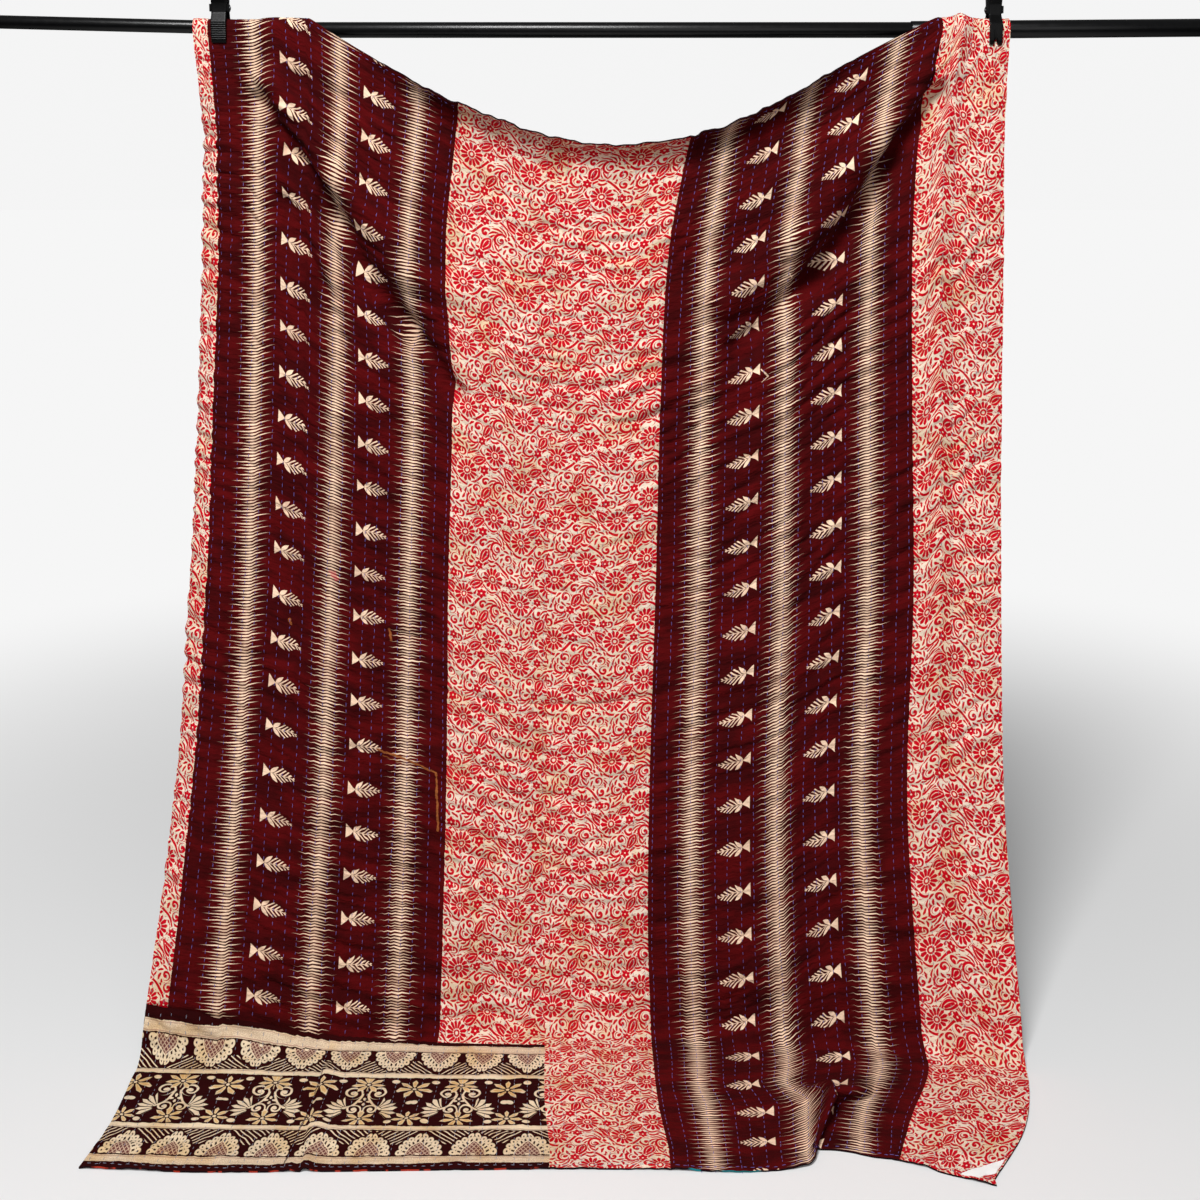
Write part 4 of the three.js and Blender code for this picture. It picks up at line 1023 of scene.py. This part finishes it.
leftFloral = clothMaterial("leftFloral", floralColours, (-52, 18))
centreFloral = clothMaterial("centreFloral", floralColours, (500, -20), places=stainsAndCreaseShade["centreLeft"])
centreRightFloral = clothMaterial("centreRightFloral", floralColours, (668, 34), places=stainsAndCreaseShade["centreRight"])
rightFloral = clothMaterial("rightFloral", floralColours, (1296, 12), places=stainsAndCreaseShade["strip"])
leftMaroon = clothMaterial("leftMaroon", stripeColours(leftStripeInk), (seams[1], 0),
                           stain="maroonStain", bump=0.9, places=stainsAndCreaseShade["left"])
rightMaroon = clothMaterial("rightMaroon", stripeColours(rightStripeInk), (seams[4], 0),
                            stain="maroonStain", bump=0.9, places=stainsAndCreaseShade["right"])
borderCloth = clothMaterial("borderCloth", borderColours, (0, borderTop), places=stainsAndCreaseShade["border"])
backing = clothMaterial("backing", backColours, stain="tealStain", layer="flat")
hemEdge = clothMaterial("hemEdge", edgeColours, stain="maroonStain", layer="flat")


def hardMaterial(name, paint, shine, grain, bump, metallic=0.0, specular=0.5):
    material, pen, shader = startMaterial(name)
    p = pen.vector("MULTIPLY", pen.add("ShaderNodeTexCoord").outputs["Object"], (1000, 1000, 1000))
    coarse = pen.lumps(p, grain * 14, 3.0, flat=False)
    pen.feed(shader.inputs["Base Color"], pen.mix(coarse, *paint))
    pen.feed(shader.inputs["Roughness"], coarse * (shine[1] - shine[0]) + shine[0])
    shader.inputs["Metallic"].default_value = metallic
    shader.inputs["Specular IOR Level"].default_value = specular
    addBump(pen, shader, pen.lumps(p, grain, 2.0, flat=False), bump, 0.0004)
    return material


barEnamel = hardMaterial("barEnamel", (tone(4, 4, 5), tone(9, 9, 10)), (0.24, 0.36), 0.8, 0.06, specular=0.32)
clampNylon = hardMaterial("clampNylon", (tone(1, 1, 1), tone(3, 3, 4)), (0.3, 0.42), 1.1, 0.2, specular=0.16)
clampSteel = hardMaterial("clampSteel", (tone(120, 122, 126), tone(165, 167, 170)), (0.28, 0.45), 0.7, 0.1,
                          metallic=1.0)
labelTape = hardMaterial("labelTape", (tone(244, 243, 240), tone(254, 254, 252)), (0.8, 0.95), 0.9, 0.5)
maroonThread = hardMaterial("maroonThread", (tone(84, 78, 156), tone(118, 110, 186)), (0.75, 0.9), 0.5, 0.4)
paleThread = hardMaterial("paleThread", (tone(116, 122, 146), tone(150, 152, 168)), (0.75, 0.9), 0.5, 0.4)
print("materials made")


def placePiece(mesh, name, materials, slot, *nodes):
    piece = bpy.data.objects.new(name, mesh)
    bpy.context.scene.collection.objects.link(piece)
    for material in materials:
        mesh.materials.append(material)
    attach(piece, body)
    if nodes:
        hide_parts(*nodes)
    return piece


def meshFrom(bm, name, sharp=40):  # smooth faces, with sharp edges kept
    for face in bm.faces:
        face.smooth = True
    for edge in bm.edges:
        edge.smooth = len(edge.link_faces) == 2 and edge.calc_face_angle(0) < math.radians(sharp)
    mesh = bpy.data.meshes.new(name)
    bm.to_mesh(mesh)
    bm.free()
    return mesh


# Panels and their running stitches

panels = [  # name, first and last seam line, first and last seam row, slot, cloth, thread
    ("left_floral_strip", 0, 1, 0, 1, "floral_cotton", leftFloral, paleThread),
    ("left_maroon_panel", 1, 2, 0, 1, "maroon_cotton", leftMaroon, maroonThread),
    ("centre_floral_left", 2, 3, 0, 1, "floral_cotton", centreFloral, paleThread),
    ("centre_floral_right", 3, 4, 0, 2, "floral_cotton", centreRightFloral, paleThread),
    ("right_maroon_panel", 4, 5, 0, 2, "maroon_cotton", rightMaroon, maroonThread),
    ("right_floral_strip", 5, 6, 0, 2, "floral_cotton", rightFloral, paleThread),
    ("border_panel", 0, 3, 1, 2, "border_cotton", borderCloth, paleThread),
]
running = dict(  # running stitches, in mm
    rowPitch=21, pitch=11.7, length=7.0, width=1.25, height=0.9, stand=0.12, wander=1.3, hemInset=7,
    lengths=(0.8, 1.15), skew=0.06,
)


def makePanel(name, firstLine, lastLine, firstRow, lastRow, slot, cloth, stitches):
    i0, i1 = seamColumn[firstLine], seamColumn[lastLine]
    k0, k1 = seamRow[firstRow], seamRow[lastRow]
    bm = bmesh.new()
    bmesh.ops.create_grid(bm, x_segments=i1 - i0, y_segments=k1 - k0, size=0.5)
    corners = np.array([vert.co for vert in bm.verts])
    i = i0 + np.rint((corners[:, 0] + 0.5) * (i1 - i0)).astype(int)
    k = k1 - np.rint((corners[:, 1] + 0.5) * (k1 - k0)).astype(int)
    mesh = meshFrom(bm, name)
    mesh.vertices.foreach_set("co", (place[i, k] * mm).astype(np.float32).ravel())
    loopVertex = np.empty(len(mesh.loops), np.int32)
    mesh.loops.foreach_get("vertex_index", loopVertex)
    for layerName, down in (("flat", flatV), ("print", printV)):
        layer = mesh.uv_layers.new(name=layerName)
        flat = np.stack([columnAcross[i], down[i, k]], 1) * mm
        layer.data.foreach_set("uv", flat[loopVertex].astype(np.float32).ravel())
    mesh.update()
    piece = placePiece(mesh, "quilt_" + name, [cloth, backing, hemEdge], slot, name)
    layers = piece.modifiers.new("layers", "SOLIDIFY")
    layers.thickness = quilt["thickness"] * mm
    layers.offset = 0
    layers.use_rim = True
    layers.material_offset = 1
    layers.material_offset_rim = 2
    held = "laid" if name == "border_panel" else "draped"


def stitchLines(firstLine, lastLine, firstRow, lastRow, draws):  # each stitch's middle, and if it runs across
    left, right = seams[firstLine], seams[lastLine]
    top, bottom = rowStops[firstRow], rowStops[lastRow]
    inset, pitch = running["hemInset"], running["pitch"]
    rows = max(1, round((right - left - 2 * inset) / running["rowPitch"]))
    found = []
    for u in np.linspace(left + inset, right - inset, rows + 1) + draws.uniform(-1.5, 1.5, rows + 1):
        v = np.arange(top + inset + draws.uniform(0, pitch), bottom - inset, pitch)
        v = v + draws.normal(0, 0.9, len(v))
        found.append(np.stack([u + running["wander"] * softNoise(v, v, 70, 70, int(u) % 50), v, 0 * v], 1))
    for edge, v in ((firstRow == 0, top + inset), (lastRow == 2, bottom - inset)):
        u = np.arange(left + pitch, right - pitch / 2, pitch) if edge else np.zeros(0)
        found.append(np.stack([u, v + draws.normal(0, 0.5, len(u)), 0 * u + 1], 1))
    return np.concatenate(found)


def stitchShape():  # a small bead with its poles along x
    bm = bmesh.new()
    bmesh.ops.create_uvsphere(bm, u_segments=3, v_segments=3, radius=0.5)
    bm.verts.index_update()
    corners = np.array([(vert.co.z, vert.co.y, vert.co.x) for vert in bm.verts])
    faces = [[vert.index for vert in face.verts] for face in bm.faces]
    bm.free()
    return corners, faces


def unit(vectors):
    return vectors / np.linalg.norm(vectors, axis=1, keepdims=True)


def makeStitches(name, firstLine, lastLine, firstRow, lastRow, slot, thread):
    draws = np.random.default_rng(17 * firstLine + firstRow)
    u, v, across = stitchLines(firstLine, lastLine, firstRow, lastRow, draws).T
    shape, faces = stitchShape()
    corners = []
    for side in (1, -1):  # printed face, then the gaps between on the back
        shift = 0 if side > 0 else running["pitch"] / 2
        at, up = sampleSheet(u + shift * across, v + shift * (1 - across))
        further = sampleSheet(u + (shift + 2) * across, v + (shift + 2) * (1 - across))[0]
        ahead = unit(further - at)
        beside = unit(np.cross(ahead, up))
        length = running["length"] * draws.uniform(*running["lengths"], len(u))
        ahead = ahead + beside * draws.normal(0, running["skew"], len(u))[:, None]
        middle = at + up * side * (quilt["thickness"] / 2 + running["stand"])
        axes = [ahead * length[:, None], beside * running["width"], up * side * running["height"]]
        corners.append(middle[:, None] + shape @ np.stack(axes, 1))
    corners = np.concatenate(corners)
    count, size = corners.shape[:2]
    loops = np.concatenate(faces)
    starts = np.cumsum([0] + [len(face) for face in faces])[:-1]
    turn = np.arange(count)[:, None]
    mesh = bpy.data.meshes.new("stitches_" + name)
    mesh.vertices.add(count * size)
    mesh.vertices.foreach_set("co", (corners * mm).astype(np.float32).ravel())
    mesh.loops.add(count * len(loops))
    mesh.loops.foreach_set("vertex_index", (turn * size + loops).astype(np.int32).ravel())
    mesh.polygons.add(count * len(faces))
    mesh.polygons.foreach_set("loop_start", (turn * len(loops) + starts).astype(np.int32).ravel())
    mesh.polygons.foreach_set("use_smooth", np.ones(count * len(faces), bool))
    mesh.update(calc_edges=True)
    bm = bmesh.new()
    bm.from_mesh(mesh)
    bmesh.ops.recalc_face_normals(bm, faces=bm.faces)
    bm.to_mesh(mesh)
    bm.free()
    return placePiece(mesh, "stitches_" + name, [thread], slot)


for *spec, cloth, thread in panels:
    sewn = makeStitches(*spec, thread)
    makePanel(*spec, cloth, sewn)
print("panels made:", len(panels))

# Tape label across the corner

label = dict(  # a slanting strip: where its two long edges meet the hem and the side, in mm from the corner
    hemInner=58, hemOuter=29, sideInner=50, sideOuter=20, inset=3, thickness=1.0, stand=0.3, curl=0.25,
    across=14, down=6, flat=(0.0723, 0.0228), area=0.00107,  # flat sizes in m
)


def makeLabel():
    bm = bmesh.new()
    bmesh.ops.create_grid(bm, x_segments=label["across"], y_segments=label["down"], size=0.5)
    corners = np.array([vert.co for vert in bm.verts]) + 0.5
    t, j = corners[:, 0], corners[:, 1]
    alongHem = mixed(mixed(label["hemOuter"], label["hemInner"], j), label["inset"], t)
    alongSide = mixed(label["inset"], mixed(label["sideOuter"], label["sideInner"], j), t)
    at, up = sampleSheet(quilt["width"] - alongHem, quilt["length"] - alongSide)
    stand = (quilt["thickness"] + label["thickness"]) / 2 + label["stand"]
    stand = stand + label["curl"] * softNoise(60 * t, 25 * j, 14, 9, 5)
    at = (at + up * stand[:, None]) * mm
    for vert, corner in zip(bm.verts, at):
        vert.co = corner
    bmesh.ops.recalc_face_normals(bm, faces=bm.faces)
    piece = placePiece(meshFrom(bm, "label"), "tape_label", [labelTape], "label_tape", "corner_label")
    tape = piece.modifiers.new("tape", "SOLIDIFY")
    tape.thickness = label["thickness"] * mm
    tape.offset = 0


makeLabel()
print("label made")

# Bar: three tubes that slide into each other, with a plug in each end


def spunPiece(name, profile, steps, matrix, material, slot, node, closed=True):  # distance and radius
    bm = bmesh.new()
    verts = [bm.verts.new((x, 0, r)) for x, r in profile]
    edges = [bm.edges.new(pair) for pair in zip(verts, verts[1:])]
    if closed:
        edges.append(bm.edges.new((verts[-1], verts[0])))
    bmesh.ops.spin(bm, geom=verts + edges, cent=(0, 0, 0), axis=(1, 0, 0), angle=2 * math.pi, steps=steps,
                   use_merge=True)
    bmesh.ops.remove_doubles(bm, verts=bm.verts, dist=1e-4)
    bmesh.ops.recalc_face_normals(bm, faces=bm.faces)
    bmesh.ops.transform(bm, matrix=Matrix.Scale(mm, 4) @ matrix, verts=bm.verts)
    placePiece(meshFrom(bm, name), name, [material], slot, node)


def tubeProfile(radius, start, end):  # rounded lips, hollow inside
    inner, lip = radius - bar["wall"], 0.5
    rim = [(0, inner + 0.2), (0, radius - lip), (lip * 0.3, radius - lip * 0.3), (lip, radius)]
    outside = [(start + x, r) for x, r in rim] + [(end - x, r) for x, r in reversed(rim)]
    return outside + [(end - 0.4, inner), (start + 0.4, inner)]


def plugProfile(radius, end, outward):
    inner = radius - bar["wall"] - bar["gap"]
    shoulder = end - outward * bar["plugFlange"]
    deep = shoulder - outward * bar["plugDepth"]
    foot = [(deep, 0), (deep, inner - 1), (deep + outward, inner), (shoulder, inner), (shoulder, radius)]
    crown = [(1.2, 0), (0.4, 0.35), (0, 1.3)]  # back from the end, in from the rim
    return foot + [(end - outward * back, radius - cut) for back, cut in crown] + [(end, 0)]


def makeBar():
    reach = bar["overlap"] / 2
    leftPlace = Matrix.Translation((bar["leftJoint"], 0, 0)) @ Matrix.Rotation(bar["leftTilt"], 4, "Y")
    rightPlace = Matrix.Translation((bar["rightJoint"], 0, 0)) @ Matrix.Rotation(-bar["rightTilt"], 4, "Y")
    leftEnd, rightEnd = -bar["halfLength"] - bar["leftJoint"], bar["halfLength"] - bar["rightJoint"]
    clear = bar["plugFlange"] + bar["gap"]
    middleStart, middleEnd = bar["leftJoint"] - reach, bar["rightJoint"] + reach
    tubes = [("bar_left_tube", bar["left"], leftEnd + clear, reach, leftPlace),
             ("bar_middle_tube", bar["middle"], middleStart, middleEnd, Matrix()),
             ("bar_right_tube", bar["right"], -reach, rightEnd - clear, rightPlace)]
    for node, radius, start, end, matrix in tubes:
        profile = tubeProfile(radius, start, end)
        spunPiece("enamelled_" + node, profile, 48, matrix, barEnamel, "bar_enamel", node)
    plugs = [("bar_left_plug", bar["left"], leftEnd, -1, leftPlace),
             ("bar_right_plug", bar["right"], rightEnd, 1, rightPlace)]
    for node, radius, end, outward, matrix in plugs:
        profile = plugProfile(radius, end, outward)
        spunPiece("moulded_" + node, profile, 48, matrix, clampNylon, "clamp_nylon", node, closed=False)


makeBar()
print("bar made")

# Spring clamps: levers are drawn across the bar and swept along it

clamp = dict(
    tip=-26, jawThickness=6, shoulder=8, neck=21, neckFlare=1.2, pivot=31, top=82, clearance=0.6,
    bodyGap=6.8, bodyThickness=5.7, bodyTaper=2, handleReach=16, handleCrown=2,
    earRadius=6, earThickness=3, earRoot=0.5, earBite=1, earEdge=0.5, corner=1.6, edge=0.9,
    waist=0.05, waistEnds=(24, 30), handleFlare=12, tipFlare=-8, crown=0.5, crownFrom=8,
    ribs=8, ribDepth=0.8, forkWidth=6, forkDepth=8, forkRound=(1.6, 0.6),
    pinRadius=2.2, headRadius=3.4, headThickness=1.4,
    headDome=[(0, 0), (0.15, 0.55), (0.5, 0.9), (0.8, 1)],  # back from the end, share of the head's radius
    springRadius=5.2, springTurns=5, springSteps=20, wire=0.85,
)
clamps = [  # name, place along the bar, jaw width, bar radius, ribbed, forked
    ("left_clamp", -621.5, 25, bar["left"], True, False),
    ("right_clamp", 644.5, 21, bar["right"], False, True),
]


def softened(points, cut):  # each corner of an outline rounded with three points
    points = np.array(points, float)
    found = []
    for before, at, after in zip(np.roll(points, 1, 0), points, np.roll(points, -1, 0)):
        back, on = before - at, after - at
        backLength, onLength = np.linalg.norm(back), np.linalg.norm(on)
        a = at + back * min(cut / backLength, 0.42)
        b = at + on * min(cut / onLength, 0.42)
        found += [a, (a + 2 * at + b) / 4, b]
    return np.array(found)


def insetOutline(points, depth):
    along = np.roll(points, -1, 0) - np.roll(points, 1, 0)
    along /= np.linalg.norm(along, axis=1, keepdims=True)
    x, y = points.T
    turnsLeft = np.sum(x * np.roll(y, -1) - np.roll(x, -1) * y) > 0
    inward = np.stack([-along[:, 1], along[:, 0]], 1)
    return points + inward * (depth if turnsLeft else -depth)


def sweptOutline(bm, outline, start, end, edge, shape):  # outline of y, z swept along x with rounded edges
    turns = np.linspace(math.pi / 2, 0, 4)
    ends = [(edge * (1 - math.sin(a)), edge * (1 - math.cos(a))) for a in turns]
    stations = [(start + x, depth) for x, depth in ends]
    stations += [(x, 0) for x in np.linspace(start + edge, end - edge, 13)[1:-1]]
    stations += [(end - x, depth) for x, depth in reversed(ends)]
    around = len(outline)
    made = bmesh.ops.create_grid(bm, x_segments=len(stations) - 1, y_segments=around, size=0.5)["verts"]
    rings = [insetOutline(outline, depth) for x, depth in stations]
    for vert in made:
        i = round((vert.co.x + 0.5) * (len(stations) - 1))
        k = round((vert.co.y + 0.5) * around) % around
        vert.co = shape(stations[i][0], *rings[i][k])
    bmesh.ops.remove_doubles(bm, verts=made, dist=1e-5)
    made = [vert for vert in made if vert.is_valid]
    rims = {link for vert in made for link in vert.link_edges if link.is_boundary}
    bmesh.ops.holes_fill(bm, edges=list(rims), sides=0)


def leverOutline(grip, ribbed):
    c = clamp
    thick, inner, reach = c["jawThickness"], c["bodyGap"], c["handleReach"]
    outer, bodyOuter = grip + thick, inner + c["bodyThickness"]
    earFoot, earTop = c["pivot"] - c["earRadius"], c["pivot"] + c["earRadius"]
    ribFoot = c["tip"] + thick
    outline = [(grip, c["tip"]), (grip, c["shoulder"]), (inner + c["neckFlare"], c["neck"]),
               (inner, earFoot), (inner, earTop), (reach, c["top"]),
               (reach + thick / 2, c["top"] + c["handleCrown"]), (reach + thick, c["top"]),
               (bodyOuter, earTop + c["bodyTaper"]), (bodyOuter, c["neck"] + c["bodyTaper"]),
               (outer, c["shoulder"])]
    pitch = (c["shoulder"] - ribFoot) / c["ribs"]
    for i in range(c["ribs"] if ribbed else 0):
        outline.append((outer - c["ribDepth"], c["shoulder"] - (i + 0.5) * pitch))
        outline.append((outer, c["shoulder"] - (i + 1) * pitch))
    if not ribbed:
        outline.append((outer, ribFoot))
    outline.append((grip + thick / 2, c["tip"]))
    return softened(outline, c["corner"])


def earOutline():
    root = clamp["bodyGap"] + clamp["bodyThickness"] - clamp["earBite"]
    pivot, radius = clamp["pivot"], clamp["earRadius"]
    angles = np.linspace(math.pi / 2, 3 * math.pi / 2, 13)
    arc = [(radius * math.cos(a), pivot + radius * math.sin(a)) for a in angles]
    return np.array([(root, pivot + radius), *arc, (root, pivot - radius)])


def makeLever(name, at, jawWidth, barRadius, ribbed, forked, facing):
    grip = barRadius + swag["seat"] + 2 * quilt["halfSolid"] + clamp["clearance"]
    half = jawWidth / 2
    matrix = Matrix.Scale(mm, 4) @ Matrix.Translation((at, 0, barHeight(at)))
    tip, depth, width = clamp["tip"], clamp["forkDepth"], clamp["forkWidth"] / 2
    pivot, top = clamp["pivot"], clamp["top"]
    within, beyond = clamp["forkRound"]

    def leverShape(x, y, z):
        if forked and z < tip + 2 * depth:  # notch with round shoulders
            lift = depth * (1 - float(ease(width - within, width + beyond, abs(x))))
            low = min(max((tip + 2 * depth - z) / (2 * depth), 0), 1)
            z += lift * low
        waist = -ease(clamp["shoulder"], clamp["neck"], z) * (1 - ease(*clamp["waistEnds"], z))
        waist += ease(pivot + clamp["handleFlare"], top, z) - ease(clamp["tipFlare"], tip, z)
        crown = clamp["crown"] * (1 - (x / half) ** 2) * float(ease(pivot + clamp["crownFrom"], top, z))
        return x * (1 + clamp["waist"] * float(waist)), facing * (y + crown), z

    bm = bmesh.new()
    sweptOutline(bm, leverOutline(grip, ribbed), -half, half, clamp["edge"], leverShape)
    cheek = half - clamp["earRoot"]
    inner = half - clamp["earRoot"] - bar["gap"] - clamp["earThickness"]
    for hand in (-1, 1):
        near = cheek if facing < 0 else inner
        far = near + clamp["earThickness"] + (clamp["earRoot"] if facing < 0 else 0)
        start, end = sorted((hand * near, hand * far))
        sweptOutline(bm, earOutline(), start, end, clamp["earEdge"], lambda x, y, z: (x, facing * y, z))
    bmesh.ops.recalc_face_normals(bm, faces=bm.faces)
    bmesh.ops.transform(bm, matrix=matrix, verts=bm.verts)
    side = "front" if facing < 0 else "back"
    placePiece(meshFrom(bm, name), f"moulded_{name}_{side}", [clampNylon], "clamp_nylon",
               f"{name}_{side}_lever")


def makePin(name, at, jawWidth):
    head = jawWidth / 2 + clamp["earThickness"] + bar["gap"]
    end, wide = head + clamp["headThickness"], clamp["headRadius"]
    half = [(end - back, wide * share) for back, share in clamp["headDome"]]
    half += [(head, wide), (head, clamp["pinRadius"])]
    profile = [(-x, r) for x, r in half] + list(reversed(half))
    matrix = Matrix.Translation((at, 0, barHeight(at) + clamp["pivot"]))
    spunPiece("steel_" + name + "_pin", profile, 24, matrix, clampSteel, "clamp_steel", name + "_pin",
              closed=False)


def makeSpring(name, at, jawWidth):
    half = jawWidth / 2 - clamp["earRoot"] - 2 * bar["gap"] - clamp["earThickness"] - clamp["wire"]
    steps = clamp["springSteps"] * clamp["springTurns"]
    bm = bmesh.new()
    ring = bmesh.ops.create_circle(bm, cap_ends=True, segments=8, radius=clamp["wire"])["verts"]
    bmesh.ops.translate(bm, verts=ring, vec=(0, clamp["springRadius"] - clamp["wire"], 0))
    bmesh.ops.rotate(bm, verts=ring, cent=(0, 0, 0), matrix=Matrix.Rotation(math.pi / 2, 3, "Y"))
    bmesh.ops.translate(bm, verts=ring, vec=(-half, 0, 0))
    start = list(bm.faces)
    bmesh.ops.spin(bm, geom=start, cent=(0, 0, 0), axis=(1, 0, 0), dvec=(2 * half / steps, 0, 0),
                   angle=2 * math.pi * clamp["springTurns"], steps=steps)
    bmesh.ops.recalc_face_normals(bm, faces=bm.faces)
    matrix = Matrix.Scale(mm, 4) @ Matrix.Translation((at, 0, barHeight(at) + clamp["pivot"]))
    bmesh.ops.transform(bm, matrix=matrix, verts=bm.verts)
    placePiece(meshFrom(bm, name), "steel_" + name + "_spring", [clampSteel], "clamp_steel", name + "_spring")


for spec in clamps:
    makeLever(*spec, -1)
    makeLever(*spec, 1)
    makePin(*spec[:3])
    makeSpring(*spec[:3])
print("clamps made")

# Floor and light

studio = dict(  # m
    floorSize=60, pale=0.82, glow=0.91, fades=(1.5, 3.3), sky=0.12, backdrop=0.91, aim=(0, 0, -0.8),
    key=(-0.7, -2.9, 2.7), keySize=1.3, keyPower=245,
    fill=(1.2, -5.2, 0.4), fillSize=3.2, fillPower=34,
)


def makeStudio():
    bm = bmesh.new()
    bmesh.ops.create_grid(bm, x_segments=1, y_segments=1, size=studio["floorSize"] / 2)
    bmesh.ops.translate(bm, verts=bm.verts, vec=(0, 0, quilt["floor"] * mm))
    mesh = meshFrom(bm, "floor")
    floor = bpy.data.objects.new("floor", mesh)
    bpy.context.scene.collection.objects.link(floor)
    pale, pen, shader = startMaterial("paleFloor")
    away = pen.length(pen.add("ShaderNodeTexCoord").outputs["Object"])
    start, end = studio["fades"]
    share = pen.math("MULTIPLY_ADD", away, 1 / (end - start), -start / (end - start), clamp=True)
    share = share * share * (3 - share * 2)
    shader.inputs["Roughness"].default_value = 0.8
    pen.feed(shader.inputs["Base Color"], pen.mix(share, (studio["pale"],) * 3 + (1,), (0, 0, 0, 1)))
    shader.inputs["Emission Color"].default_value = (1, 1, 1, 1)
    seen = Field(pen, pen.add("ShaderNodeLightPath").outputs["Is Camera Ray"])
    pen.feed(shader.inputs["Emission Strength"], share * seen * studio["glow"])
    mesh.materials.append(pale)
    world = bpy.data.worlds.new("studio")
    world.use_nodes = True
    pen = Pen(world.node_tree)
    sky = world.node_tree.nodes["Background"]
    seen = Field(pen, pen.add("ShaderNodeLightPath").outputs["Is Camera Ray"])
    pen.feed(sky.inputs["Strength"], seen * (studio["backdrop"] - studio["sky"]) + studio["sky"])
    sky.inputs["Color"].default_value = (1, 1, 1, 1)
    bpy.context.scene.world = world
    for name in ("key", "fill"):
        data = bpy.data.lights.new(name, "AREA")
        data.size = studio[name + "Size"]
        data.energy = studio[name + "Power"]
        lamp = bpy.data.objects.new(name, data)
        lamp.location = studio[name]
        towards = Vector(studio["aim"]) - Vector(studio[name])
        lamp.rotation_euler = towards.to_track_quat("-Z", "Y").to_euler()
        bpy.context.scene.collection.objects.link(lamp)
    bpy.context.scene.view_settings.view_transform = "Standard"


makeStudio()
